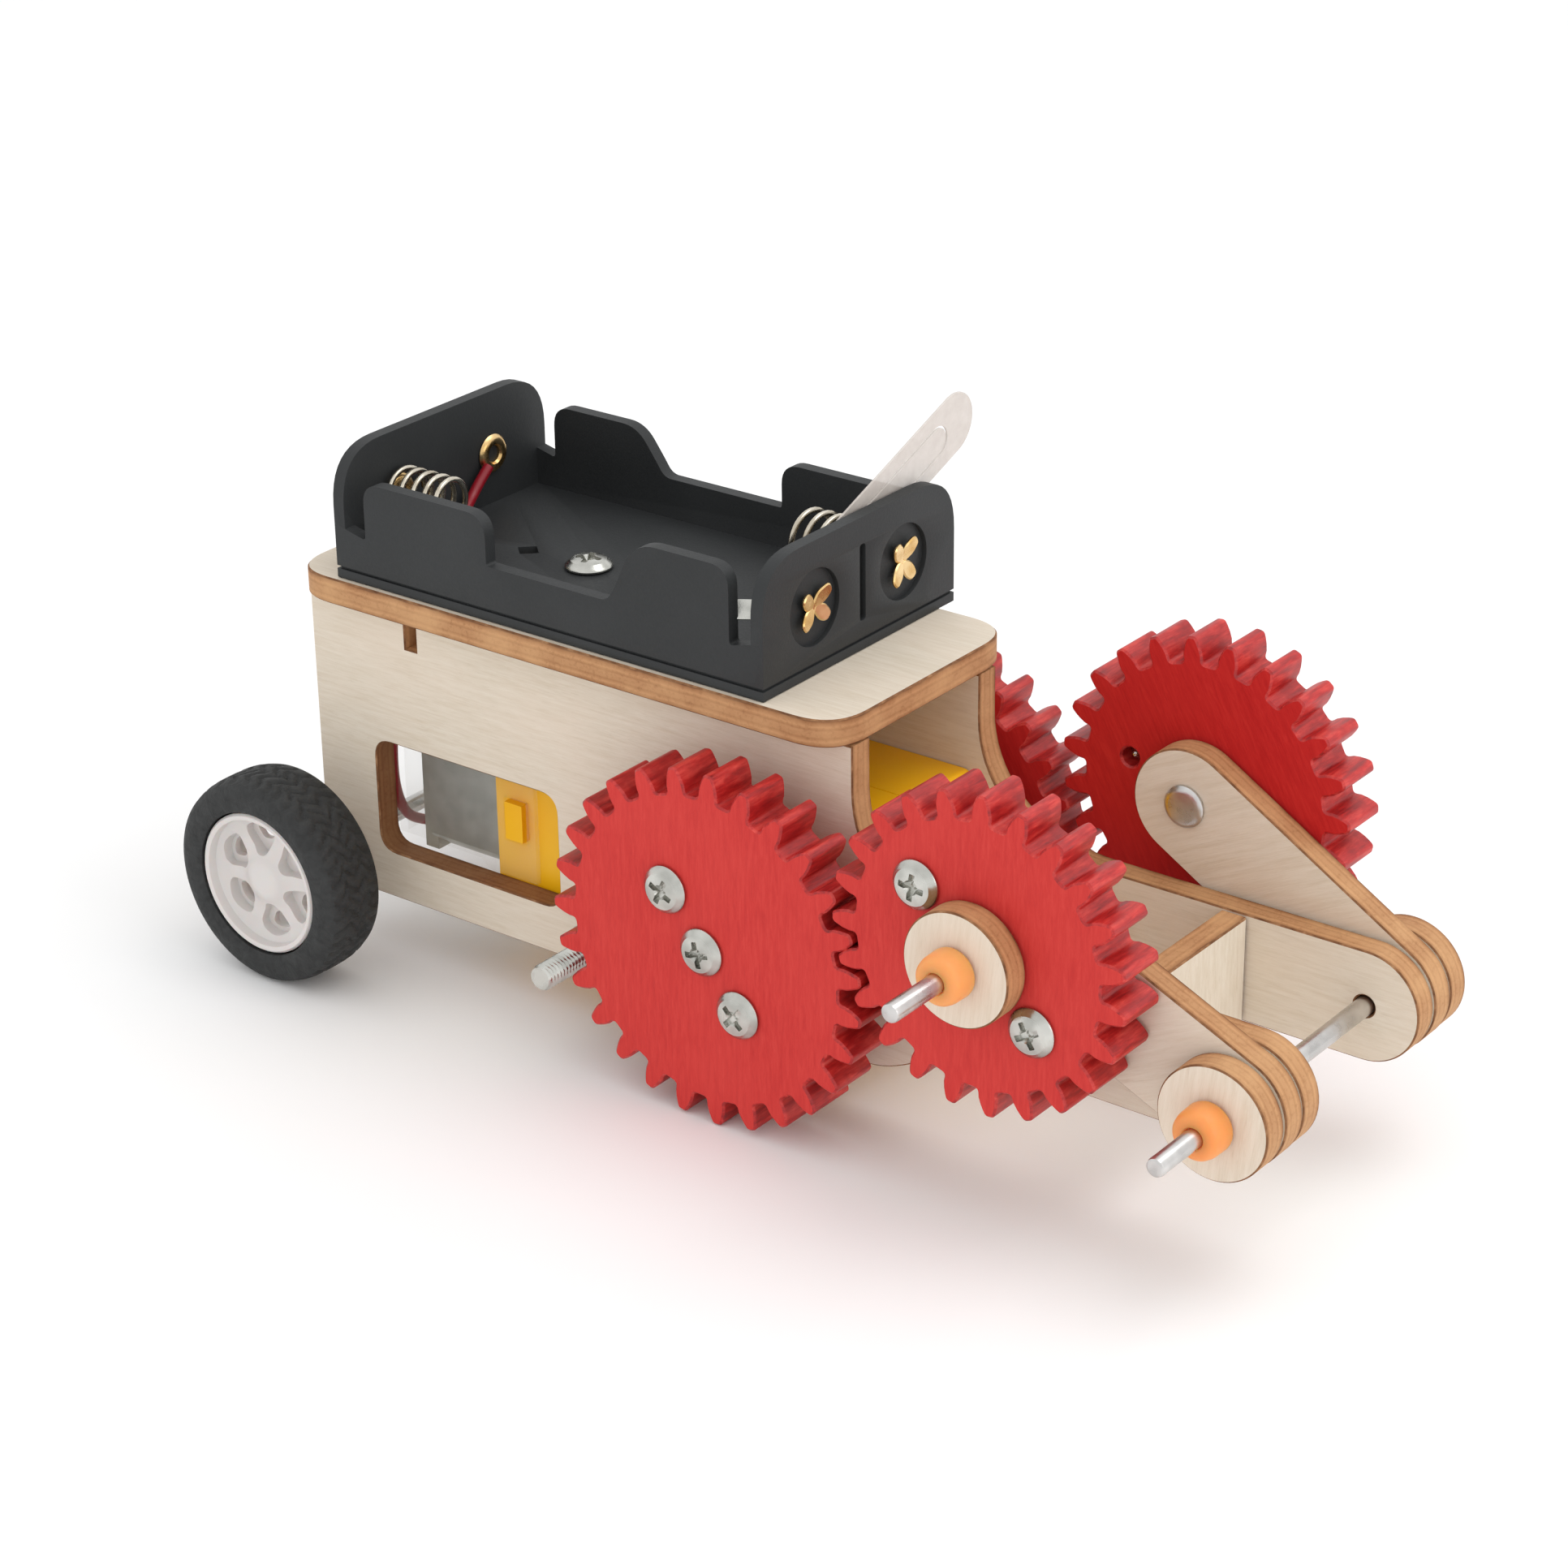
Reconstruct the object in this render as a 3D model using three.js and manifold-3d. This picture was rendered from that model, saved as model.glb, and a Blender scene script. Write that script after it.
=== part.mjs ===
// Two wheel robot car: a laser-cut plywood body round a dual-shaft gear motor, with four spur gears.
// Millimetres, +Z up, +X forward, +Y to the car's left. The origin is on the ground under the middle.
import * as THREE from "three";
import { mergeVertices } from "three/addons/utils/BufferGeometryUtils.js";
import Module from "manifold-3d";

const wasm = await Module();
wasm.setup();

// ---- Driving dimensions ----
const PLY = 3; // thickness of the plywood sheet
const GAP = 0.3; // room kept between neighbouring pieces
const FIT = 0.15; // room round a rod in its hole, on the radius

const PANEL_INNER = 9.5; // distance of a side panel's inner face from the middle
const PANEL_OUTER = PANEL_INNER + PLY;
const BODY_REAR = -58.7;
const BODY_FRONT = 14.5;
const BODY_BOTTOM = 6.8;
const BODY_TOP = 41.8;
const ARM_HALF = 6; // half the height of a front arm, and the radius of its end

const REAR_AXLE = { x: -55.9, z: 11.9 };
const FRONT_AXLE = { x: 60.6, z: 18 };
const DRIVE = { x: 2.8, z: 19.7 }; // output shaft of the gear motor
const ROD_R = 1; // front axle, rear axle and link pins

const DRIVE_TEETH = 27;
const FRONT_TEETH = 23;
const GEAR_MODULE = 1.37;
const ADDENDUM = 1.2; // height of a red gear's tooth above its pitch circle
const DEDENDUM = 1.6;
const MESH_DISTANCE = (GEAR_MODULE * (DRIVE_TEETH + FRONT_TEETH)) / 2 + 0.15; // drive gear to front gear
const MESH_ANGLE = THREE.MathUtils.degToRad(15.95); // direction from drive gear to front gear
const LEFT_LIFT = THREE.MathUtils.degToRad(7); // the left front gear rests on its drive gear tooth to tooth
const DRIVE_TOOTH_ANGLE = THREE.MathUtils.degToRad(274); // one tooth of the drive gear points here
const GEAR_INNER = PANEL_OUTER + PLY + 2 * GAP; // inner face of a red gear
const GEAR_OUTER = GEAR_INNER + 2 * PLY; // the gears are two layers thick
const PRESSURE_ANGLE = THREE.MathUtils.degToRad(20);
const BACKLASH = 0.3;

const FRONT_GEAR = {
  x: DRIVE.x + MESH_DISTANCE * Math.cos(MESH_ANGLE),
  z: DRIVE.z + MESH_DISTANCE * Math.sin(MESH_ANGLE),
};
const LINK_INNER = PANEL_OUTER + GAP; // links and hubs lie against the panels
const LINK_OUTER = LINK_INNER + PLY;
const HUB_R = 10.5;
const DRIVE_SCREW_OFFSET = 7.3;
const DRIVE_SCREW_ANGLE = THREE.MathUtils.degToRad(-52);
const FRONT_SCREW_OFFSET = 8.9;
const FRONT_SCREW_ANGLE = { right: THREE.MathUtils.degToRad(-41), left: THREE.MathUtils.degToRad(-5) };
const SCREW = { headR: 2.6, shankR: 0.95, headHeight: 1.1 };

const LID = { rear: -58.5, front: 14.7, half: 15.5, bottom: 42, corner: 5 };
const LID_TOP = LID.bottom + PLY;
const BRACE_X = 44.1;

const HOLDER = { rear: -52, front: 5.4, right: -14.85, left: 17.85, wall: 1.5, floor: 1.5 };
const HOLDER_BOTTOM = LID_TOP + 0.1;
const HOLDER_TOP = HOLDER_BOTTOM + 14.4;
const HOLDER_LOW_WALL = HOLDER_BOTTOM + 6.1;
// Heights of the raised stretches of each side wall above the bottom, rear then front.
const TAB_TOPS = { right: [11.6, 13.3], left: [11.2, 11.2] };
const CELL_Z = HOLDER_BOTTOM + 7.3;
const CELL_Y = { right: -6.3, left: 8.8 };
const RIVET_RECESS = { r: 4.1, depth: 0.6 };

const GEARBOX = { rear: -35.7, front: 13.9, halfHeight: 11.25, half: 9.35, wall: 1.45, roof: 0.9 };
const CAN = { rear: -47.4, front: -26.3, r: 10, flat: 7.5 };
const TERMINAL_Z = 7.9; // height of the motor's solder tags above and below its axis
const BOLT = { x: DRIVE.x - 20.5, z: DRIVE.z - 8.75, r: 1.45 };
const SHAFT = { r: 2.7, flat: 1.85, tip: 18.5 };

const TYRE = { r: 11.9, inner: 8.45, from: 18.9, to: 26.8 };
const STOPPER = { r: 2.65, length: 3.6 };
const DISC_R = 6.1;
const PIN_TIP = 36;
const FRONT_AXLE_TIP = { right: -29, left: 24 };

// ---- Materials ----
function material(color, roughness, metalness = 0, opacity = 1) {
  return new THREE.MeshStandardMaterial({
    color,
    roughness,
    metalness,
    opacity,
    transparent: opacity < 1,
  });
}
const plywood = material(0xe6cfae, 0.7);
const redWood = material(0xc62a28, 0.65);
const yellowPlastic = material(0xf2b807, 0.4);
const whitePlastic = material(0xf0f0f2, 0.4);
const blackPlastic = material(0x24272b, 0.55);
const blackRubber = material(0x2c2e30, 0.85);
const orangeRubber = material(0xf58a2c, 0.5);
const clearPlastic = material(0xe8e4e0, 0.15, 0, 0.4);
const steel = material(0xc4c4c2, 0.3, 1);
const brass = material(0xc9a25a, 0.3, 1);
const redWire = material(0x9e1c22, 0.5);
const blackWire = material(0x1c1c1e, 0.5);

// ---- Geometry helpers ----

// A geometry as a solid that can be cut and joined.
function solid(geometry) {
  const bare = geometry.clone();
  bare.deleteAttribute("normal");
  bare.deleteAttribute("uv");
  const merged = mergeVertices(bare, 1e-4);
  return new wasm.Manifold(
    new wasm.Mesh({
      numProp: 3,
      vertProperties: merged.attributes.position.array,
      triVerts: new Uint32Array(merged.index.array),
    }),
  );
}

function geometryOf(manifold) {
  const mesh = manifold.getMesh();
  const geometry = new THREE.BufferGeometry();
  geometry.setAttribute("position", new THREE.BufferAttribute(mesh.vertProperties, 3));
  geometry.setIndex(new THREE.BufferAttribute(mesh.triVerts, 1));
  geometry.computeVertexNormals();
  return geometry;
}

function cut(geometry, ...tools) {
  return geometryOf(tools.reduce((rest, tool) => rest.subtract(solid(tool)), solid(geometry)));
}

function join(geometry, ...others) {
  return geometryOf(others.reduce((sum, other) => sum.add(solid(other)), solid(geometry)));
}

// A plate whose outline is drawn in x and z, from one y to another in either order.
function plate(shape, y0, y1, curveSegments = 5) {
  const depth = Math.abs(y1 - y0);
  const geometry = new THREE.ExtrudeGeometry(shape, { depth, bevelEnabled: false, curveSegments });
  geometry.rotateX(Math.PI / 2);
  return geometry.translate(0, Math.max(y0, y1), 0);
}

// A plate whose outline is drawn in x and y, from one z up to another.
function slab(shape, z0, z1, curveSegments = 4) {
  const depth = z1 - z0;
  const geometry = new THREE.ExtrudeGeometry(shape, { depth, bevelEnabled: false, curveSegments });
  return geometry.translate(0, 0, z0);
}

function box(x0, x1, y0, y1, z0, z1) {
  const geometry = new THREE.BoxGeometry(x1 - x0, Math.abs(y1 - y0), z1 - z0);
  return geometry.translate((x0 + x1) / 2, (y0 + y1) / 2, (z0 + z1) / 2);
}

// A rod along Y at a point of the x-z plane.
function rod(at, r, y0, y1, segments = 12) {
  const geometry = new THREE.CylinderGeometry(r, r, Math.abs(y1 - y0), segments);
  return geometry.translate(at.x, (y0 + y1) / 2, at.z);
}

// A rod along X at a point of the y-z plane.
function rodX(y, z, r, x0, x1, segments = 12) {
  const geometry = new THREE.CylinderGeometry(r, r, x1 - x0, segments).rotateZ(-Math.PI / 2);
  return geometry.translate((x0 + x1) / 2, y, z);
}

// A turned piece about an axis along Y: the profile lists radius and distance towards the outside.
function turned(at, side, profile, segments = 16) {
  const points = profile.map(([r, t]) => new THREE.Vector2(r, t));
  const geometry = new THREE.LatheGeometry(points, segments);
  if (side < 0) geometry.rotateX(Math.PI);
  return geometry.translate(at.x, 0, at.z);
}

// A ring about an axis along Y, between two distances from the middle.
function ring(at, side, inner, outer, from, to, segments = 18) {
  const profile = [
    [inner, from],
    [outer, from],
    [outer, to],
    [inner, to],
    [inner, from],
  ];
  return turned(at, side, profile, segments);
}

function roundHole(at, r, points = 12) {
  const hole = new THREE.Path();
  for (let i = 0; i < points; i++) {
    const angle = (-2 * Math.PI * i) / points;
    const x = at.x + r * Math.cos(angle);
    const z = at.z + r * Math.sin(angle);
    if (i === 0) hole.moveTo(x, z);
    else hole.lineTo(x, z);
  }
  hole.closePath();
  return hole;
}

function roundedRectangle(Kind, x0, x1, z0, z1, r) {
  const shape = new Kind();
  shape.moveTo(x0 + r, z0);
  shape.lineTo(x1 - r, z0);
  shape.absarc(x1 - r, z0 + r, r, -Math.PI / 2, 0);
  shape.lineTo(x1, z1 - r);
  shape.absarc(x1 - r, z1 - r, r, 0, Math.PI / 2);
  shape.lineTo(x0 + r, z1);
  shape.absarc(x0 + r, z1 - r, r, Math.PI / 2, Math.PI);
  shape.lineTo(x0, z0 + r);
  shape.absarc(x0 + r, z0 + r, r, Math.PI, 1.5 * Math.PI);
  shape.closePath();
  return shape;
}

function along(at, distance, angle) {
  return { x: at.x + distance * Math.cos(angle), z: at.z + distance * Math.sin(angle) };
}

// ---- Assembly ----
const car = new THREE.Group();
const SIDES = [
  ["right", -1],
  ["left", 1],
];

function add(name, geometry, look, group = car) {
  const mesh = new THREE.Mesh(geometry, look);
  mesh.name = name;
  group.add(mesh);
}

// A group drawn in the meshed position and turned up about the front axle.
function swingGroup(lift) {
  const pivot = new THREE.Group();
  pivot.position.set(FRONT_AXLE.x, 0, FRONT_AXLE.z);
  pivot.rotation.y = lift;
  const group = new THREE.Group();
  group.position.set(-FRONT_AXLE.x, 0, -FRONT_AXLE.z);
  pivot.add(group);
  car.add(pivot);
  return group;
}

// ---- Plywood body ----
const WINDOW = { x0: -50.3, x1: -24.4, z0: 12.4, z1: 25.7, corner: 2 };
const SLOT = { x0: -45, x1: -43.4, bottom: 37.6 };

function sidePanelShape() {
  const armTop = FRONT_AXLE.z + ARM_HALF;
  const armBottom = FRONT_AXLE.z - ARM_HALF;
  const shape = new THREE.Shape();
  shape.moveTo(BODY_REAR, BODY_BOTTOM);
  shape.lineTo(15, BODY_BOTTOM);
  shape.bezierCurveTo(22, BODY_BOTTOM, 24, armBottom, 32, armBottom);
  shape.lineTo(FRONT_AXLE.x, armBottom);
  shape.absarc(FRONT_AXLE.x, FRONT_AXLE.z, ARM_HALF, -Math.PI / 2, Math.PI / 2);
  shape.lineTo(30, armTop);
  shape.bezierCurveTo(21, armTop, BODY_FRONT, 29, BODY_FRONT, 37);
  shape.lineTo(BODY_FRONT, BODY_TOP);
  shape.lineTo(SLOT.x1, BODY_TOP);
  shape.lineTo(SLOT.x1, SLOT.bottom);
  shape.lineTo(SLOT.x0, SLOT.bottom);
  shape.lineTo(SLOT.x0, BODY_TOP);
  shape.lineTo(BODY_REAR, BODY_TOP);
  shape.closePath();
  const { x0, x1, z0, z1, corner } = WINDOW;
  shape.holes.push(
    roundedRectangle(THREE.Path, x0, x1, z0, z1, corner),
    roundHole(DRIVE, SHAFT.r + 0.5),
    roundHole(BOLT, BOLT.r + FIT),
    roundHole(REAR_AXLE, ROD_R + FIT, 10),
    roundHole(FRONT_AXLE, ROD_R + FIT, 10),
  );
  return shape;
}

function lid() {
  const { rear, front, half, bottom, corner } = LID;
  const shape = roundedRectangle(THREE.Shape, rear, front, -half, half, corner);
  shape.holes.push(
    roundHole({ x: HOLDER_SCREW.x, z: HOLDER_SCREW.y }, SCREW.shankR + FIT, 10),
    roundHole({ x: LEAD_HOLE.x, z: LEAD_HOLE.y }, LEAD_HOLE.r, 12),
  );
  return slab(shape, bottom, LID_TOP);
}

// ---- Gear motor ----
// Outline of a large spur gear, with straight chords inside the involute flanks.
function redGearShape(at, teeth, toothAngle) {
  const pitchR = (GEAR_MODULE * teeth) / 2;
  const involute = (r) => {
    const baseR = pitchR * Math.cos(PRESSURE_ANGLE);
    const angle = Math.acos(Math.min(1, baseR / r));
    return Math.tan(angle) - angle;
  };
  const pitchHalf = Math.PI / (2 * teeth) - BACKLASH / (4 * pitchR);
  const half = (r) => pitchHalf + involute(pitchR) - involute(r);
  const flank = [pitchR - DEDENDUM, pitchR - 0.35, pitchR + ADDENDUM];
  const shape = new THREE.Shape();
  for (let i = 0; i < teeth; i++) {
    const middle = toothAngle + (2 * Math.PI * i) / teeth;
    const points = flank
      .map((r) => [r, middle - half(r)])
      .concat(flank.toReversed().map((r) => [r, middle + half(r)]));
    points.forEach(([r, angle], k) => {
      const p = along(at, r, angle);
      if (i === 0 && k === 0) shape.moveTo(p.x, p.z);
      else shape.lineTo(p.x, p.z);
    });
  }
  shape.closePath();
  return shape;
}

// Small moulded gears: straight-sided teeth with plenty of room between them.
function smallGearShape(at, teeth, module, toothAngle, boreR) {
  const pitchR = (teeth * module) / 2;
  const tip = { r: pitchR + 0.85 * module, half: (0.16 * Math.PI * module) / pitchR };
  const root = { r: pitchR - 1.15 * module, half: (0.29 * Math.PI * module) / pitchR };
  const shape = new THREE.Shape();
  for (let i = 0; i < teeth; i++) {
    const middle = toothAngle + (2 * Math.PI * i) / teeth;
    const points = [
      along(at, root.r, middle - root.half),
      along(at, tip.r, middle - tip.half),
      along(at, tip.r, middle + tip.half),
      along(at, root.r, middle + root.half),
    ];
    points.forEach((p, k) => {
      if (i === 0 && k === 0) shape.moveTo(p.x, p.z);
      else shape.lineTo(p.x, p.z);
    });
  }
  shape.closePath();
  if (boreR) shape.holes.push(roundHole(at, boreR, 8));
  return shape;
}

const TRAIN = {
  fine: 0.4, // module of the motor pinion and the crown wheel
  coarse: 0.5, // module of the last stage
  motorTeeth: 8,
  crownTeeth: 32,
  crownPinionTeeth: 10,
  idlerTeeth: 30,
  idlerPinionTeeth: 8,
  outputTeeth: 32,
  postR: 0.85,
};
const CROWN = { x: DRIVE.x - 17.2, z: DRIVE.z };
const IDLER = idlerPlace();

// The idler's centre: in mesh with the crown wheel's pinion and with the output wheel.
function idlerPlace() {
  const toCrown = (TRAIN.fine * (TRAIN.crownPinionTeeth + TRAIN.idlerTeeth)) / 2;
  const toDrive = (TRAIN.coarse * (TRAIN.idlerPinionTeeth + TRAIN.outputTeeth)) / 2;
  const apart = DRIVE.x - CROWN.x;
  const forward = (apart ** 2 + toCrown ** 2 - toDrive ** 2) / (2 * apart);
  return { x: CROWN.x + forward, z: CROWN.z + Math.sqrt(toCrown ** 2 - forward ** 2) };
}

// The angle of a driven gear's tooth, so that it fits between the teeth of its driver.
function meshedToothAngle(driver, driverTooth, driverTeeth, driven, drivenTeeth) {
  const line = Math.atan2(driven.z - driver.z, driven.x - driver.x);
  const lead = ((driverTooth - line) * driverTeeth) / drivenTeeth;
  return line + Math.PI - lead + Math.PI / drivenTeeth;
}

function gearboxShell(side) {
  const { rear, front, halfHeight, half, wall, roof } = GEARBOX;
  const bottom = DRIVE.z - halfHeight;
  const top = DRIVE.z + halfHeight;
  const inner = half - wall;
  const split = side * 0.05;
  const through = side * (half + 2);
  const outline = roundedRectangle(THREE.Shape, rear, front, bottom, top, 1.2);
  const hollow = box(rear - 1, front - 1.6, -side, side * inner, bottom + roof, top - roof);
  const ear = roundedRectangle(THREE.Shape, front - 1, front + 5, DRIVE.z - 4.2, DRIVE.z + 4.2, 1);
  ear.holes.push(roundHole({ x: front + 2.2, z: DRIVE.z }, 1.5, 10));
  const nub = box(-33.6, -31.2, side * (half - 1), side * (half + 1.1), DRIVE.z - 2.2, DRIVE.z + 2.2);
  const boltBoss = rod(BOLT, 2.5, split, side * (half - 0.5));
  const upperBoss = rod({ x: BOLT.x, z: 2 * DRIVE.z - BOLT.z }, 2.5, split, side * (half - 0.5));
  const parts = [plate(ear, split, side * 1.5, 3), boltBoss, upperBoss, nub];
  if (side < 0) {
    parts.push(rod(CROWN, TRAIN.postR, 1.6, side * (half - 0.5), 8));
    parts.push(rod(IDLER, TRAIN.postR, 5, side * (half - 0.5), 8));
  }
  return cut(
    join(cut(plate(outline, split, side * half, 3), hollow), ...parts),
    rod(DRIVE, SHAFT.r + FIT, -side, through),
    rod(BOLT, BOLT.r + FIT, -side, through),
    rod({ x: BOLT.x, z: 2 * DRIVE.z - BOLT.z }, BOLT.r + FIT, -side, through),
  );
}

function motorCan() {
  const round = rodX(0, DRIVE.z, CAN.r, CAN.rear, CAN.front, 24);
  const flats = box(CAN.rear - 1, CAN.front + 1, -CAN.flat, CAN.flat, 0, 2 * DRIVE.z);
  const body = geometryOf(solid(round).intersect(solid(flats)));
  const cap = box(CAN.rear - 1.4, CAN.rear + 0.5, -CAN.flat + 0.6, CAN.flat - 0.6, 11, 28.4);
  const collar = rodX(0, DRIVE.z, 3, CAN.front - 0.5, CAN.front + 0.4, 12);
  const bearing = rodX(0, DRIVE.z, 2.6, CAN.rear - 2.6, CAN.rear, 12);
  const bore = rodX(0, DRIVE.z, 1.15, CAN.front - 6, CAN.front + 2, 10);
  const tags = [-1, 1].map((end) => {
    const z = DRIVE.z + end * TERMINAL_Z;
    return box(CAN.rear - 2.8, CAN.rear - 1, -1.2, 1.2, z - 0.3, z + 0.3);
  });
  return cut(join(body, cap, collar, bearing, ...tags), bore);
}

function motorStrap() {
  const reach = GEARBOX.half + 0.25;
  const rear = CAN.rear - 3.6;
  const thick = 0.6;
  const shape = new THREE.Shape();
  const outline = [
    [-29.6, reach],
    [-36.4, reach],
    [-39, CAN.flat + 0.5],
    [rear + thick, CAN.flat + 0.5],
  ];
  const outer = outline.map(([x, y], i) => [i === 3 ? rear : x, y + thick]);
  const half = outline.concat(outline.toReversed().map(([x, y]) => [x, -y]));
  const back = outer.toReversed().map(([x, y]) => [x, -y]).toReversed();
  [...half, ...back, ...outer.toReversed()].forEach(([x, y], i) => {
    if (i === 0) shape.moveTo(x, y);
    else shape.lineTo(x, y);
  });
  shape.closePath();
  const band = slab(shape, WINDOW.z0 + 0.5, WINDOW.z1 - 0.4);
  const eyes = box(-34, -30.8, -20, 20, DRIVE.z - 2.6, DRIVE.z + 2.6);
  return cut(band, eyes);
}

function motorPinion() {
  const shape = smallGearShape({ x: 0, z: 0 }, TRAIN.motorTeeth, TRAIN.fine, Math.PI / 2, 0);
  const length = 6.1;
  const gear = plate(shape, 0, length).rotateZ(-Math.PI / 2);
  gear.translate(CROWN.x - 5.2 - length, 0, DRIVE.z);
  const spindle = rodX(0, DRIVE.z, 1, CAN.front - 5.5, CAN.front + 1.5, 8);
  return join(gear, spindle);
}

// A wheel with teeth standing on its face, and a pinion moulded beside it.
function crownGear() {
  const rimR = 6.8;
  const tooth = { from: 5.7, to: 6.7, wide: 0.4, top: -1.25, foot: -2.4 };
  const wheel = rod(CROWN, rimR, -3.5, -2.1, 20);
  const pinion = plate(
    smallGearShape(CROWN, TRAIN.crownPinionTeeth, TRAIN.fine, CROWN_PINION_TOOTH, 0),
    -2.4,
    1.2,
  );
  const parts = [pinion];
  for (let i = 0; i < TRAIN.crownTeeth; i++) {
    const angle = (2 * Math.PI * (i + 0.5)) / TRAIN.crownTeeth;
    const bar = box(tooth.from, tooth.to, tooth.foot, tooth.top, -tooth.wide / 2, tooth.wide / 2);
    bar.rotateY(-angle).translate(CROWN.x, 0, CROWN.z);
    parts.push(bar);
  }
  return cut(join(wheel, ...parts), rod(CROWN, TRAIN.postR + FIT, -5, 3, 8));
}

const CROWN_PINION_TOOTH = 0;
const IDLER_TOOTH = meshedToothAngle(
  CROWN,
  CROWN_PINION_TOOTH,
  TRAIN.crownPinionTeeth,
  IDLER,
  TRAIN.idlerTeeth,
);
const IDLER_PINION_TOOTH = 0;
const OUTPUT_TOOTH = meshedToothAngle(
  IDLER,
  IDLER_PINION_TOOTH,
  TRAIN.idlerPinionTeeth,
  DRIVE,
  TRAIN.outputTeeth,
);

function idlerGear() {
  const wheel = smallGearShape(IDLER, TRAIN.idlerTeeth, TRAIN.fine, IDLER_TOOTH, 0);
  const pinion = smallGearShape(IDLER, TRAIN.idlerPinionTeeth, TRAIN.coarse, IDLER_PINION_TOOTH, 0);
  const both = join(plate(wheel, -0.8, 0.8), plate(pinion, 0.5, 4.6));
  return cut(both, rod(IDLER, TRAIN.postR + FIT, -2, 6, 8));
}

// The output wheel on its two-ended shaft, with flats for the hubs and a screw hole in each end.
function outputShaft() {
  const { r, flat, tip } = SHAFT;
  const wheel = plate(smallGearShape(DRIVE, TRAIN.outputTeeth, TRAIN.coarse, OUTPUT_TOOTH, 0), 1.9, 4);
  const shaft = rod(DRIVE, r, -tip, tip, 16);
  const tools = [];
  for (const [, side] of SIDES) {
    for (const [x0, x1] of [[-r - 1, -flat], [flat, r + 1]]) {
      const from = side * (PANEL_INNER + 0.5);
      tools.push(box(DRIVE.x + x0, DRIVE.x + x1, from, side * (tip + 1), DRIVE.z - 4, DRIVE.z + 4));
    }
    tools.push(rod(DRIVE, SCREW.shankR + FIT, side * (tip - 6.5), side * (tip + 1), 8));
  }
  return cut(join(wheel, shaft), ...tools);
}

// ---- Screws ----
// A round-head cross-recess screw along Y: the seat is the face that its head rests on.
function screw(at, side, seat, length, turn = 0) {
  const { headR, shankR, headHeight } = SCREW;
  const profile = [
    [0, seat - length],
    [shankR, seat - length + 0.9],
    [shankR, seat],
    [headR, seat],
    [headR, seat + 0.4],
    [0.6 * headR, seat + headHeight],
    [0, seat + headHeight],
  ];
  const blank = turned(at, side, profile, 10);
  const bars = [turn, turn + Math.PI / 2].map((angle) => {
    const bar = box(-1.3, 1.3, seat + 0.45, seat + 2, -0.25, 0.25);
    bar.rotateY(angle);
    if (side < 0) bar.rotateX(Math.PI);
    return bar.translate(at.x, 0, at.z);
  });
  return cut(blank, join(bars[0], bars[1]));
}

function boltWithRoundHead() {
  const seat = PANEL_OUTER + 0.1;
  const profile = [
    [0, seat - 36.4],
    [BOLT.r - 0.4, seat - 36.4],
    [BOLT.r, seat - 35.9],
    [BOLT.r, seat],
    [2.8, seat],
    [2.6, seat + 1.2],
    [1.6, seat + 2],
    [0, seat + 2.2],
  ];
  const bars = [0.4, 0.4 + Math.PI / 2].map((angle) => {
    const bar = box(-1.7, 1.7, seat + 1.2, seat + 3, -0.35, 0.35);
    return bar.rotateY(angle).translate(BOLT.x, 0, BOLT.z);
  });
  return cut(turned(BOLT, 1, profile, 12), join(bars[0], bars[1]));
}

function hexNut() {
  const shape = new THREE.Shape();
  for (let i = 0; i < 6; i++) {
    const p = along(BOLT, 3.17, (Math.PI * (i + 0.5)) / 3);
    if (i === 0) shape.moveTo(p.x, p.z);
    else shape.lineTo(p.x, p.z);
  }
  shape.closePath();
  shape.holes.push(roundHole(BOLT, BOLT.r + FIT));
  return plate(shape, -PANEL_OUTER - 0.1, -PANEL_OUTER - 2.5);
}

// ---- Red gears, hubs, links ----
const DRIVE_SCREWS = [-DRIVE_SCREW_OFFSET, 0, DRIVE_SCREW_OFFSET].map((d) =>
  along(DRIVE, d, DRIVE_SCREW_ANGLE),
);
function frontScrewPlaces(name) {
  return [-FRONT_SCREW_OFFSET, FRONT_SCREW_OFFSET].map((d) => along(FRONT_GEAR, d, FRONT_SCREW_ANGLE[name]));
}
const SCREW_PLACES = ["rear", "middle", "front"];


function driveGear(side) {
  const shape = redGearShape(DRIVE, DRIVE_TEETH, DRIVE_TOOTH_ANGLE);
  DRIVE_SCREWS.forEach((p) => shape.holes.push(roundHole(p, SCREW.shankR + FIT, 8)));
  const socket = rod(DRIVE, SHAFT.r + FIT, side * (GEAR_INNER - 1), side * (SHAFT.tip + GAP), 12);
  return cut(plate(shape, side * GEAR_INNER, side * GEAR_OUTER), socket);
}

function driveHub(side) {
  const disc = rod(DRIVE, HUB_R, side * LINK_INNER, side * LINK_OUTER, 28);
  const bore = rod(DRIVE, SHAFT.r + FIT, side * (LINK_INNER - 1), side * (LINK_OUTER + 1), 12);
  const pilots = [DRIVE_SCREWS[0], DRIVE_SCREWS[2]].map((p) =>
    rod(p, SCREW.shankR + FIT, side * (LINK_INNER - 1), side * (LINK_OUTER + 1), 8),
  );
  return cut(disc, bore, ...pilots);
}

function frontGear(name, side) {
  const tooth = meshedToothAngle(DRIVE, DRIVE_TOOTH_ANGLE, DRIVE_TEETH, FRONT_GEAR, FRONT_TEETH);
  const shape = redGearShape(FRONT_GEAR, FRONT_TEETH, tooth);
  shape.holes.push(roundHole(FRONT_GEAR, ROD_R + FIT, 10));
  frontScrewPlaces(name).forEach((p) => shape.holes.push(roundHole(p, SCREW.shankR + FIT, 8)));
  return plate(shape, side * GEAR_INNER, side * GEAR_OUTER);
}

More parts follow.
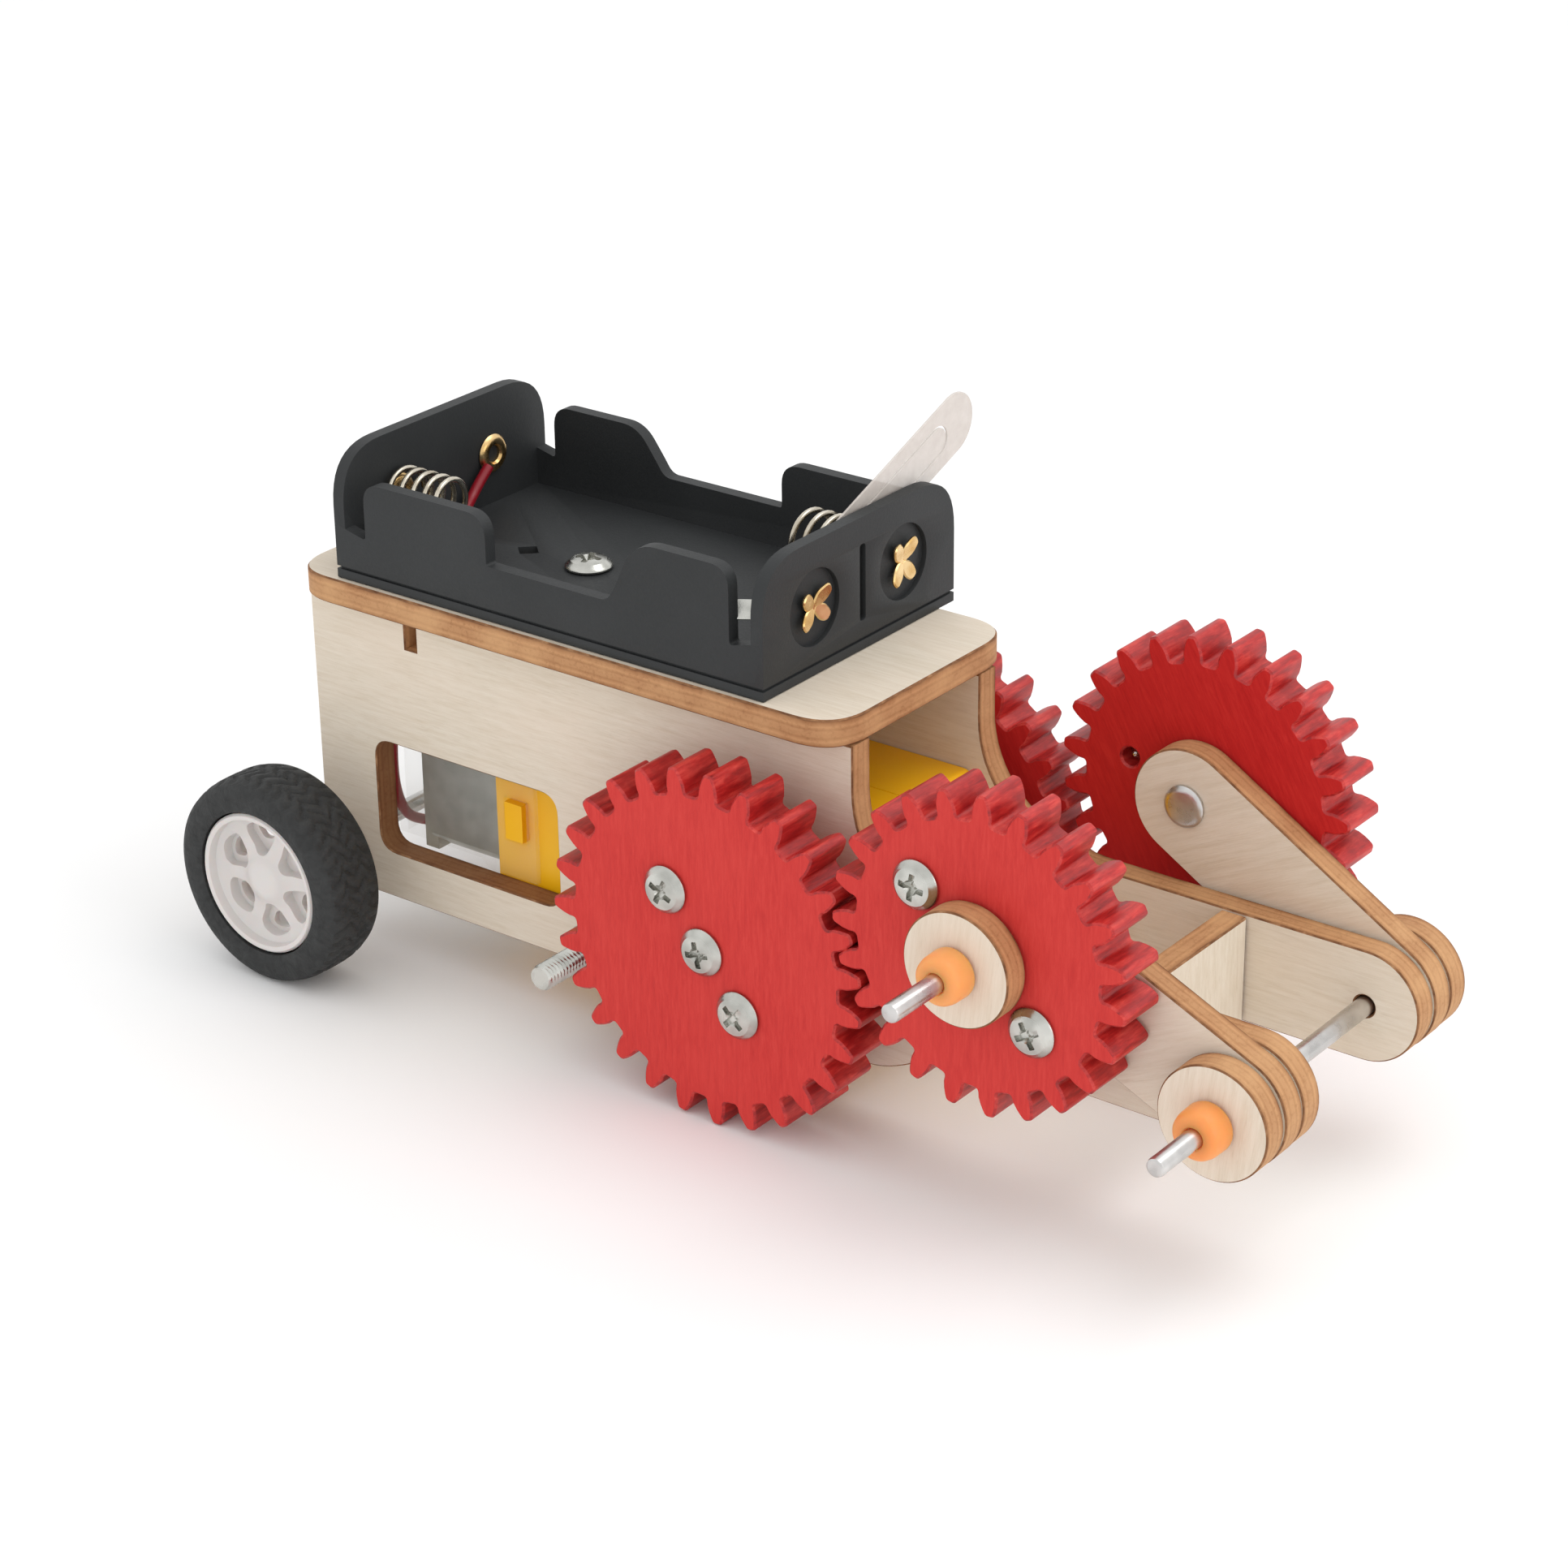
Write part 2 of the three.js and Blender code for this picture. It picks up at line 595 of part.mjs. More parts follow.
function linkShape() {
  const dx = FRONT_GEAR.x - FRONT_AXLE.x;
  const dz = FRONT_GEAR.z - FRONT_AXLE.z;
  const lean = Math.atan2(dz, dx);
  const shape = new THREE.Shape();
  const r = ARM_HALF + 0.1;
  shape.absarc(FRONT_AXLE.x, FRONT_AXLE.z, r, lean + Math.PI / 2, lean + 1.5 * Math.PI);
  shape.absarc(FRONT_GEAR.x, FRONT_GEAR.z, r, lean - Math.PI / 2, lean + Math.PI / 2);
  shape.closePath();
  shape.holes.push(roundHole(FRONT_AXLE, ROD_R + FIT, 10), roundHole(FRONT_GEAR, ROD_R + FIT, 10));
  return shape;
}

function linkPin(side) {
  const seat = LINK_INNER - 0.05;
  const profile = [
    [0, seat - 0.7],
    [2, seat - 0.7],
    [2.3, seat - 0.4],
    [2.3, seat],
    [ROD_R, seat],
    [ROD_R, PIN_TIP - 0.3],
    [0.7, PIN_TIP],
    [0, PIN_TIP],
  ];
  return turned(FRONT_GEAR, side, profile, 12);
}

function stopper(at, side, from) {
  const to = from + STOPPER.length;
  const profile = [
    [ROD_R + FIT, from],
    [STOPPER.r, from],
    [STOPPER.r, to - 0.6],
    [STOPPER.r - 0.6, to],
    [ROD_R + FIT, to],
    [ROD_R + FIT, from],
  ];
  return turned(at, side, profile, 12);
}

// ---- Rear wheels ----
function tyre(side) {
  const { r, inner, from, to } = TYRE;
  const profile = [
    [inner, from],
    [r - 0.7, from],
    [r, from + 1],
    [r, to - 1],
    [r - 0.7, to],
    [inner, to],
    [inner, from],
  ];
  return turned(REAR_AXLE, side, profile, 28);
}

function rim(side) {
  const { inner, from, to } = TYRE;
  const rimR = inner - GAP;
  const web = { back: to - 2.4, face: to - 0.9 };
  const hubR = 2.6;
  const profile = [
    [0, to - 1.4],
    [ROD_R + FIT, to - 1.4],
    [ROD_R + FIT, PANEL_OUTER + 0.7],
    [hubR, PANEL_OUTER + 0.7],
    [hubR, web.back],
    [rimR - 0.9, web.back],
    [rimR - 0.9, from + 0.2],
    [rimR, from + 0.2],
    [rimR, to - 0.3],
    [rimR - 0.9, to - 0.3],
    [rimR - 0.9, web.face],
    [hubR, web.face],
    [hubR, to - 0.5],
    [0, to - 0.5],
  ];
  const windows = [];
  for (let i = 0; i < 6; i++) {
    const middle = (Math.PI * (i + 0.5)) / 3;
    const shape = new THREE.Shape();
    const corners = [
      along(REAR_AXLE, 3.3, middle - 0.22),
      along(REAR_AXLE, 6.9, middle - 0.36),
      along(REAR_AXLE, 7, middle),
      along(REAR_AXLE, 6.9, middle + 0.36),
      along(REAR_AXLE, 3.3, middle + 0.22),
    ];
    corners.forEach((p, k) => {
      if (k === 0) shape.moveTo(p.x, p.z);
      else shape.lineTo(p.x, p.z);
    });
    shape.closePath();
    windows.push(plate(shape, side * (web.back - 1), side * (to + 1)));
  }
  return cut(turned(REAR_AXLE, side, profile, 20), ...windows);
}

// ---- Battery holder ----
const HOLDER_SCREW = { x: -29.4, y: 0 };
const LEAD_HOLE = { x: -47.4, y: -0.4, r: 1.7 };
const WIRE_HOLE = { x: -37.9, y: 0, r: 1.4 };

// A side wall's outline: low in the middle, with two raised stretches that hold the cells.
// Heights above the bottom are given for the stretch with the steep end and the one with the sloping end.
function holderSideShape(steepHeight, slopedHeight) {
  const { rear, front } = HOLDER;
  const middle = (rear + front) / 2;
  const at = (d) => middle + d;
  const steepTop = HOLDER_BOTTOM + steepHeight;
  const slopedTop = HOLDER_BOTTOM + slopedHeight;
  const shape = new THREE.Shape();
  const r = 1.6;
  shape.moveTo(rear, HOLDER_BOTTOM);
  shape.lineTo(front, HOLDER_BOTTOM);
  shape.lineTo(front, HOLDER_LOW_WALL);
  shape.lineTo(at(24.5), HOLDER_LOW_WALL - 1);
  shape.lineTo(at(24.5), slopedTop - r);
  shape.absarc(at(24.5) - r, slopedTop - r, r, 0, Math.PI / 2);
  shape.lineTo(at(13.5), slopedTop);
  shape.bezierCurveTo(at(11), slopedTop, at(10), HOLDER_LOW_WALL + 3, at(8.6), HOLDER_LOW_WALL);
  shape.lineTo(at(-7.3), HOLDER_LOW_WALL);
  shape.lineTo(at(-7.3), steepTop - 3);
  shape.absarc(at(-10.3), steepTop - 3, 3, 0, Math.PI / 2);
  shape.lineTo(at(-24.3) + r, steepTop);
  shape.absarc(at(-24.3) + r, steepTop - r, r, Math.PI / 2, Math.PI);
  shape.lineTo(at(-24.3), HOLDER_LOW_WALL - 1);
  shape.lineTo(rear, HOLDER_LOW_WALL);
  shape.closePath();
  return shape;
}

function holderEndWall(x0, x1) {
  const { right, left } = HOLDER;
  const shape = new THREE.Shape();
  const r = 4.5;
  shape.moveTo(right, HOLDER_BOTTOM);
  shape.lineTo(left, HOLDER_BOTTOM);
  shape.lineTo(left, HOLDER_TOP - r);
  shape.absarc(left - r, HOLDER_TOP - r, r, 0, Math.PI / 2);
  shape.lineTo(right + r, HOLDER_TOP);
  shape.absarc(right + r, HOLDER_TOP - r, r, Math.PI / 2, Math.PI);
  shape.closePath();
  const depth = x1 - x0;
  const geometry = new THREE.ExtrudeGeometry(shape, { depth, bevelEnabled: false, curveSegments: 4 });
  geometry.rotateX(Math.PI / 2);
  geometry.rotateZ(Math.PI / 2);
  return geometry.translate(x0, 0, 0);
}

function batteryHolder() {
  const { rear, front, right, left, wall, floor } = HOLDER;
  const middle = (rear + front) / 2;
  const rightWall = plate(holderSideShape(...TAB_TOPS.right), right, right + wall, 4);
  const leftWall = plate(holderSideShape(...TAB_TOPS.left.toReversed()), right, right + wall, 4);
  leftWall.translate(-middle, -(right + left) / 2, 0);
  leftWall.rotateZ(Math.PI);
  leftWall.translate(middle, (right + left) / 2, 0);
  const base = box(rear, front, right, left, HOLDER_BOTTOM, HOLDER_BOTTOM + floor);
  const endWalls = [holderEndWall(rear, rear + wall), holderEndWall(front - wall, front)];
  const body = join(base, rightWall, leftWall, ...endWalls);
  const tools = [
    rodZ(HOLDER_SCREW, SCREW.shankR + FIT, HOLDER_BOTTOM - 1, HOLDER_BOTTOM + floor + 1, 10),
    rodZ(LEAD_HOLE, LEAD_HOLE.r, HOLDER_BOTTOM - 1, HOLDER_BOTTOM + floor + 1, 12),
    rodZ(WIRE_HOLE, WIRE_HOLE.r, HOLDER_BOTTOM - 1, HOLDER_BOTTOM + floor + 1, 4),
    box(front - 0.7, front + 1, 1.2, 2.3, HOLDER_BOTTOM + 3.2, HOLDER_BOTTOM + 11.5),
  ];
  for (const y of [CELL_Y.right, CELL_Y.left]) {
    tools.push(rodX(y, CELL_Z, RIVET_RECESS.r, front - RIVET_RECESS.depth, front + 1, 16));
    tools.push(rodX(y, CELL_Z, RIVET_RECESS.r, rear - 1, rear + RIVET_RECESS.depth, 16));
    tools.push(rodX(y, CELL_Z, 1.1, rear - 1, front + 1, 8));
  }
  return cut(body, ...tools);
}

function rodZ(at, r, z0, z1, segments) {
  const geometry = new THREE.CylinderGeometry(r, r, z1 - z0, segments).rotateX(Math.PI / 2);
  return geometry.translate(at.x, at.y, (z0 + z1) / 2);
}

class Helix extends THREE.Curve {
  constructor(x0, x1, y, z, r, turns) {
    super();
    Object.assign(this, { x0, x1, y, z, r, turns });
  }
  getPoint(t, target = new THREE.Vector3()) {
    const angle = 2 * Math.PI * this.turns * t;
    const x = this.x0 + (this.x1 - this.x0) * t;
    return target.set(x, this.y + this.r * Math.cos(angle), this.z + this.r * Math.sin(angle));
  }
}

function sweep(path, r, steps, sides) {
  const section = new THREE.Shape(roundHole({ x: 0, z: 0 }, r, sides).getPoints().toReversed());
  return new THREE.ExtrudeGeometry(section, { steps, extrudePath: path, bevelEnabled: false });
}

function contactSpring(wallX, towards, y, length) {
  const turns = 5;
  const from = wallX + towards * 1;
  const to = wallX + towards * length;
  return sweep(new Helix(from, to, y, CELL_Z, 2.9, turns), 0.35, turns * 10, 4);
}

// A rivet through an end wall: a hollow head inside, and four petals spread in the recess outside.
function rivet(wallX, outwards, y) {
  const recess = wallX - outwards * RIVET_RECESS.depth;
  const inner = wallX - outwards * HOLDER.wall;
  const shaft = rodX(y, CELL_Z, 0.9, Math.min(inner, recess) - 0.45, Math.max(inner, recess) + 0.45, 8);
  const headFrom = inner - outwards * 0.1;
  const headTo = inner - outwards * 0.45;
  const head = rodX(y, CELL_Z, 1.9, Math.min(headFrom, headTo), Math.max(headFrom, headTo), 12);
  const petals = [];
  for (let i = 0; i < 4; i++) {
    const petal = new THREE.BoxGeometry(0.4, 2.3, 1.3);
    petal.translate(recess + outwards * 0.4, 1.45, 0);
    petal.rotateX((Math.PI * (i + 0.5)) / 2);
    petals.push(petal.translate(0, y, CELL_Z));
  }
  return join(shaft, head, ...petals);
}

function flatContact() {
  const inner = HOLDER.front - HOLDER.wall;
  const y = CELL_Y.right;
  const leaf = box(inner - 1.6, inner - 1.15, y - 3.4, y + 3.4, HOLDER_BOTTOM + 2.2, CELL_Z + 4.6);
  return cut(leaf, rodX(y, CELL_Z, 1.1, inner - 3, inner, 8));
}

// The clear film strip tucked inside the front wall and lying across its top edge, towards the left.
const TAB = { climb: 23, lean: 86, half: 3.5, thick: 0.25, length: 27 }; // angles in degrees
const TAB_START = new THREE.Vector3(3.17, -1.8, 54.5);

function tabDirections() {
  const climb = THREE.MathUtils.degToRad(TAB.climb);
  const lean = THREE.MathUtils.degToRad(TAB.lean);
  const up = new THREE.Vector3(Math.cos(lean), 0, Math.sin(lean));
  const left = new THREE.Vector3(0, 1, 0);
  const lengthwise = left.clone().multiplyScalar(Math.cos(climb)).addScaledVector(up, Math.sin(climb));
  const across = up.clone().multiplyScalar(Math.cos(climb)).addScaledVector(left, -Math.sin(climb));
  return [lengthwise, across, lengthwise.clone().cross(across)];
}

function batteryTab() {
  const { half, thick, length } = TAB;
  const slit = { from: 6, end: length - 6.4, inner: 1.5, outer: 1.7 };
  const shape = new THREE.Shape();
  shape.moveTo(0, -half);
  shape.lineTo(length - half, -half);
  shape.absarc(length - half, 0, half, -Math.PI / 2, Math.PI / 2);
  shape.lineTo(0, half);
  shape.closePath();
  const path = new THREE.Path();
  path.moveTo(slit.from, -slit.outer);
  path.lineTo(slit.from, -slit.inner);
  path.lineTo(slit.end, -slit.inner);
  path.absarc(slit.end, 0, slit.inner, -Math.PI / 2, Math.PI / 2);
  path.lineTo(slit.from, slit.inner);
  path.lineTo(slit.from, slit.outer);
  path.lineTo(slit.end, slit.outer);
  path.absarc(slit.end, 0, slit.outer, Math.PI / 2, -Math.PI / 2, true);
  path.closePath();
  shape.holes.push(path);
  const settings = { depth: thick, bevelEnabled: false, curveSegments: 5 };
  const geometry = new THREE.ExtrudeGeometry(shape, settings).translate(0, 0, -thick);
  const place = new THREE.Matrix4().makeBasis(...tabDirections()).setPosition(TAB_START);
  return geometry.applyMatrix4(place);
}

// ---- Leads ----
function lead(points) {
  const path = new THREE.CatmullRomCurve3(points.map((p) => new THREE.Vector3(...p)));
  return sweep(path, 0.6, 22, 6);
}

const RED_ROUTE = [
  [-49.4, CELL_Y.left - 1.8, CELL_Z - 0.8],
  [-49.3, 5.2, 50.2],
  [-49, 3.5, 49],
  [-48.1, 1.5, 48.3],
  [-46.9, 0.1, 47.1],
  [-46.7, -0.4, 44.5],
  [-46.9, -1, 41],
  [-49, -4, 36],
  [-51.6, -6.8, 30],
  [-52.3, -7.6, 24],
  [-52.4, -7.6, 18],
  [-52.5, -6, 13.8],
  [-52, -3.6, 12],
  [-50.6, -2, 11.8],
];
const BLACK_ROUTE = [
  [-49.6, CELL_Y.right + 0.2, CELL_Z - 4.1],
  [-48.9, -3.6, 48.3],
  [-48.3, -1.4, 47.6],
  [-48.1, -0.5, 46.6],
  [-48.1, -0.4, 43.5],
  [-48.3, 0.6, 40],
  [-50, 4, 35],
  [-51.4, 5, 30.6],
  [-51.6, 3.6, 28.2],
  [-50.6, 2, 27.6],
];

// ---- Every piece, by name ----
for (const [name, side] of SIDES) {
  add(`side_panel_${name}`, plate(sidePanelShape(), side * PANEL_INNER, side * PANEL_OUTER), plywood);
}
add("top_panel", lid(), plywood);
const braceHalf = ARM_HALF - 0.2;
add(
  "front_cross_brace",
  box(
    BRACE_X,
    BRACE_X + PLY,
    -PANEL_INNER + 0.2,
    PANEL_INNER - 0.2,
    FRONT_AXLE.z - braceHalf,
    FRONT_AXLE.z + braceHalf,
  ),
  plywood,
);

for (const [name, side] of SIDES) {
  add(`gearbox_shell_${name}`, gearboxShell(side), yellowPlastic);
}
add("motor_can", motorCan(), steel);
add("motor_strap", motorStrap(), clearPlastic);
add("motor_pinion", motorPinion(), steel);
add("crown_gear", crownGear(), whitePlastic);
add("idler_gear", idlerGear(), whitePlastic);
add("output_shaft", outputShaft(), whitePlastic);
add("motor_bolt", boltWithRoundHead(), steel);
add("motor_bolt_nut", hexNut(), steel);

for (const [name, side] of SIDES) {
  add(`drive_hub_${name}`, driveHub(side), plywood);
  add(`drive_gear_${name}`, driveGear(side), redWood);
  DRIVE_SCREWS.forEach((p, i) => {
    const length = 2 * PLY + 2.6;
    add(`drive_screw_${SCREW_PLACES[i]}_${name}`, screw(p, side, GEAR_OUTER + 0.05, length, i), steel);
  });
}

for (const [name, side] of SIDES) {
  const group = swingGroup(side > 0 ? LEFT_LIFT : 0);
  const discFrom = GEAR_OUTER + GAP;
  const disc = ring(FRONT_GEAR, side, ROD_R + FIT, DISC_R, discFrom, discFrom + PLY);
  add(`swing_link_${name}`, plate(linkShape(), side * LINK_INNER, side * LINK_OUTER), plywood, group);
  add(`front_gear_${name}`, frontGear(name, side), redWood, group);
  frontScrewPlaces(name).forEach((p, i) => {
    const place = i === 0 ? "rear" : "front";
    const piece = screw(p, side, GEAR_OUTER + 0.05, 5.6, i + 0.4);
    add(`front_screw_${place}_${name}`, piece, steel, group);
  });
  add(`link_pin_${name}`, linkPin(side), steel, group);
  add(`pin_spacer_${name}`, disc, plywood, group);
  add(`pin_stopper_${name}`, stopper(FRONT_GEAR, side, discFrom + PLY + GAP), orangeRubber, group);
}

add("front_axle", rod(FRONT_AXLE, ROD_R, FRONT_AXLE_TIP.right, FRONT_AXLE_TIP.left), steel);
for (const [name, side] of SIDES) {
  const discFrom = LINK_OUTER + GAP;
  add(
    `front_spacer_${name}`,
    ring(FRONT_AXLE, side, ROD_R + FIT, DISC_R, discFrom, discFrom + PLY),
    plywood,
  );
  add(`front_stopper_${name}`, stopper(FRONT_AXLE, side, discFrom + PLY + GAP), orangeRubber);
}

add("rear_axle", rod(REAR_AXLE, ROD_R, -TYRE.to + 1.7, TYRE.to - 1.7), steel);
for (const [name, side] of SIDES) {
  add(`rear_rim_${name}`, rim(side), whitePlastic);
  add(`rear_tyre_${name}`, tyre(side), blackRubber);
}

add("battery_holder", batteryHolder(), blackPlastic);
add("contact_spring_rear", contactSpring(HOLDER.rear + HOLDER.wall, 1, CELL_Y.right, 8), steel);
add("contact_spring_front", contactSpring(HOLDER.front - HOLDER.wall, -1, CELL_Y.left, 10.9), steel);
add("flat_contact", flatContact(), steel);
for (const [name] of SIDES) {
  add(`rivet_front_${name}`, rivet(HOLDER.front, 1, CELL_Y[name]), brass);
  add(`rivet_rear_${name}`, rivet(HOLDER.rear, -1, CELL_Y[name]), brass);
}
const holderScrew = screw({ x: 0, z: 0 }, 1, 0, 4.4, 0.3).rotateX(Math.PI / 2);
holderScrew.translate(HOLDER_SCREW.x, HOLDER_SCREW.y, HOLDER_BOTTOM + HOLDER.floor + 0.05);
add("holder_screw", holderScrew, steel);
add("red_lead", lead(RED_ROUTE), redWire);
add("black_lead", lead(BLACK_ROUTE), blackWire);
add("battery_tab", batteryTab(), clearPlastic);

export default car;
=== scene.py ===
"""Two wheel robot car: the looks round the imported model.

Lengths are in millimetres, and the frame's are in metres.
"""

import math

import bmesh
import bpy
from mathutils import Matrix, Quaternion, Vector
from mathutils.geometry import tessellate_polygon


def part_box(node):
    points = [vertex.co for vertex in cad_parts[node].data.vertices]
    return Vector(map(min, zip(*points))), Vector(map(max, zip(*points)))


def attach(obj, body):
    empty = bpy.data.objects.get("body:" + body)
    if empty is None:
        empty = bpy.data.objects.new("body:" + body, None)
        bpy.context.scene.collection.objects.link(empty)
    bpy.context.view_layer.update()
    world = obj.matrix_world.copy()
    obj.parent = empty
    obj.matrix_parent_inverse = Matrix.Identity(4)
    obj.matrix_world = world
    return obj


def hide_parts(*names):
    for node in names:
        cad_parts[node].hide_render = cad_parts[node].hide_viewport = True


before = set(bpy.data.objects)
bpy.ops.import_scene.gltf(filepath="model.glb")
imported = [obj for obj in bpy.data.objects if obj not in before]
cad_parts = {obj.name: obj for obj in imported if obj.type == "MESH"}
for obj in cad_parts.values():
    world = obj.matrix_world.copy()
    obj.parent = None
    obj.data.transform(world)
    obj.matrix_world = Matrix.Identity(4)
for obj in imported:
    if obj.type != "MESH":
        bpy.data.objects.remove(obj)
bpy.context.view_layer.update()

MM = 0.001
SIDES = {"right": -1, "left": 1}


# ---- What the frame says ----
def low(node):
    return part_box(node)[0] / MM


def high(node):
    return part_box(node)[1] / MM


def middle(node):
    return (low(node) + high(node)) / 2


DRIVE = middle("drive_hub_right")
FRONT_AXLE = middle("front_spacer_right")
REAR_AXLE = middle("rear_tyre_right")
PINS = {name: middle(f"pin_spacer_{name}") for name in SIDES}


def outwards(node, side):
    """Distances of a node's inner and outer face from the middle of the car."""
    ends = sorted([side * low(node).y, side * high(node).y])
    return ends[0], ends[1]


# ---- Materials ----
def srgb(red, green, blue):
    """A colour given in 0 to 255 display values, as linear light."""
    shades = [value / 255 for value in (red, green, blue)]
    return tuple(((s + 0.055) / 1.055) ** 2.4 if s > 0.04045 else s / 12.92 for s in shades)


class Look:
    """A Principled material with its texture nodes, measured in millimetres of the part at rest."""

    def __init__(self, name, colour, roughness, **sockets):
        self.material = bpy.data.materials.new(name)
        self.material.use_nodes = True
        self.tree = self.material.node_tree
        self.shader = self.tree.nodes["Principled BSDF"]
        self.set("Base Color", (*colour, 1))
        self.set("Roughness", roughness)
        for socket, value in sockets.items():
            self.set(socket.replace("_", " ").title().replace("Ior", "IOR"), value)
        self.place = self.tree.nodes.new("ShaderNodeTexCoord").outputs["Object"]

    def set(self, socket, value):
        self.shader.inputs[socket].default_value = value

    def node(self, kind, **values):
        made = self.tree.nodes.new("ShaderNode" + kind)
        for name, value in values.items():
            setattr(made, name, value)
        return made

    def noise(self, size, detail=3, roughness=0.55, distortion=0, turn=0):
        """Noise whose features are about size = (x, y, z) millimetres, turned about Y by an angle."""
        mapping = self.node("Mapping", vector_type="POINT")
        mapping.inputs["Scale"].default_value = [1 / MM / s for s in size]
        turned = self.node("Mapping", vector_type="POINT")
        turned.inputs["Rotation"].default_value = (0, turn, 0)
        noise = self.node("TexNoise")
        noise.inputs["Scale"].default_value = 1
        noise.inputs["Detail"].default_value = detail
        noise.inputs["Roughness"].default_value = roughness
        noise.inputs["Distortion"].default_value = distortion
        self.tree.links.new(self.place, turned.inputs["Vector"])
        self.tree.links.new(turned.outputs["Vector"], mapping.inputs["Vector"])
        self.tree.links.new(mapping.outputs["Vector"], noise.inputs["Vector"])
        return noise.outputs["Fac"]

    def across(self):
        return self.node("Attribute", attribute_name="across").outputs["Fac"]

    def ramp(self, value, *stops):
        """Colours along a value: each stop is a place from 0 to 1 and a colour."""
        ramp = self.node("ValToRGB")
        elements = ramp.color_ramp.elements
        elements[0].position, elements[0].color = stops[0][0], (*stops[0][1], 1)
        elements[1].position, elements[1].color = stops[-1][0], (*stops[-1][1], 1)
        for position, colour in stops[1:-1]:
            elements.new(position).color = (*colour, 1)
        self.tree.links.new(value, ramp.inputs["Fac"])
        return ramp.outputs["Color"]

    def mix(self, share, first, second, blend="MIX"):
        node = self.node("Mix", data_type="RGBA", blend_type=blend)
        for socket, value in ((node.inputs[0], share), (node.inputs[6], first), (node.inputs[7], second)):
            if isinstance(value, bpy.types.NodeSocket):
                self.tree.links.new(value, socket)
            elif socket == node.inputs[0]:
                socket.default_value = value
            else:
                socket.default_value = (*value, 1)
        return node.outputs[2]

    def colour(self, value):
        self.tree.links.new(value, self.shader.inputs["Base Color"])
        return self

    def rough(self, value, least, most):
        span = self.node("MapRange")
        span.inputs["To Min"].default_value = least
        span.inputs["To Max"].default_value = most
        self.tree.links.new(value, span.inputs["Value"])
        self.tree.links.new(span.outputs["Result"], self.shader.inputs["Roughness"])
        return self

    def bump(self, value, height):
        """Raises the surface by up to height millimetres where value is 1."""
        bump = self.node("Bump")
        bump.inputs["Strength"].default_value = 1
        bump.inputs["Distance"].default_value = height * MM
        last = self.shader.inputs["Normal"].links
        if last:
            self.tree.links.new(last[0].from_socket, bump.inputs["Normal"])
        self.tree.links.new(value, bump.inputs["Height"])
        self.tree.links.new(bump.outputs["Normal"], self.shader.inputs["Normal"])
        return self


BIRCH = srgb(222, 210, 192)
BIRCH_LIGHT = srgb(229, 219, 203)
BIRCH_DARK = srgb(213, 199, 178)
CARAMEL = srgb(194, 145, 101)
BROWN = srgb(156, 108, 70)
CHAR = srgb(104, 66, 42)


def ply_face(name, turn=0.0):
    """Sanded birch: long faint fibres, small flecks and slow changes of tone."""
    look = Look(name, BIRCH, 0.62, specular_ior_level=0.3)
    fibres = look.noise((7, 0.5, 0.5), 4, 0.7, 0.2, turn)
    flecks = look.noise((2.2, 0.16, 0.16), 2, 0.7, 0, turn)
    clouds = look.noise((16, 9, 9), 3, 0.5, 0, turn)
    tone = look.ramp(fibres, (0.3, BIRCH_DARK), (0.5, BIRCH), (0.72, BIRCH_LIGHT))
    tone = look.mix(look.ramp(flecks, (0.58, (0, 0, 0)), (0.8, (0.4, 0.4, 0.4))), tone, srgb(190, 172, 148))
    tone = look.mix(look.ramp(clouds, (0.35, (0, 0, 0)), (0.75, (0.5, 0.5, 0.5))), tone, srgb(232, 216, 198))
    return look.colour(tone).rough(fibres, 0.5, 0.72).bump(fibres, 0.03).bump(flecks, 0.03).material


def ply_edge(name, tint=(1, 1, 1)):
    """Laser-cut edge: three veneers with dark glue lines, browned and streaked across the sheet."""
    look = Look(name, CARAMEL, 0.7, specular_ior_level=0.25)
    wobble = look.noise((3, 3, 3), 3, 0.6)
    shifted = look.node("Math", operation="MULTIPLY_ADD")
    shifted.inputs[1].default_value = 0.12
    look.tree.links.new(wobble, shifted.inputs[0])
    look.tree.links.new(look.across(), shifted.inputs[2])
    layers = look.ramp(
        shifted.outputs["Value"],
        (0.03, CHAR),
        (0.13, BROWN),
        (0.26, CARAMEL),
        (0.38, srgb(170, 122, 82)),
        (0.44, srgb(184, 136, 94)),
        (0.62, srgb(186, 138, 96)),
        (0.68, srgb(170, 122, 82)),
        (0.78, CARAMEL),
        (0.95, BROWN),
        (1.0, CHAR),
    )
    streaks = look.noise((0.45, 0.6, 0.45), 4, 0.75)
    smoke = look.noise((5, 5, 5), 3, 0.5)
    tone = look.mix(look.ramp(streaks, (0.5, (0, 0, 0)), (0.72, (0.5, 0.5, 0.5))), layers, srgb(134, 88, 54))
    tone = look.mix(look.ramp(smoke, (0.4, (0, 0, 0)), (0.7, (0.5, 0.5, 0.5))), tone, srgb(216, 170, 122))
    # A tint below white darkens the whole edge; the edges of holes use it as painted shade.
    tone = look.mix(1.0, tone, tint, "MULTIPLY")
    return look.colour(tone).rough(streaks, 0.55, 0.85).bump(streaks, 0.05).material


def ply_rim():
    """The dark line that the laser leaves where a face meets an edge."""
    look = Look("char_line", BROWN, 0.75, specular_ior_level=0.2)
    patches = look.noise((1.6, 1.6, 1.6), 3, 0.6)
    tone = look.ramp(patches, (0.3, srgb(98, 64, 42)), (0.55, srgb(140, 98, 66)), (0.75, srgb(178, 136, 98)))
    return look.colour(tone).bump(patches, 0.02).material


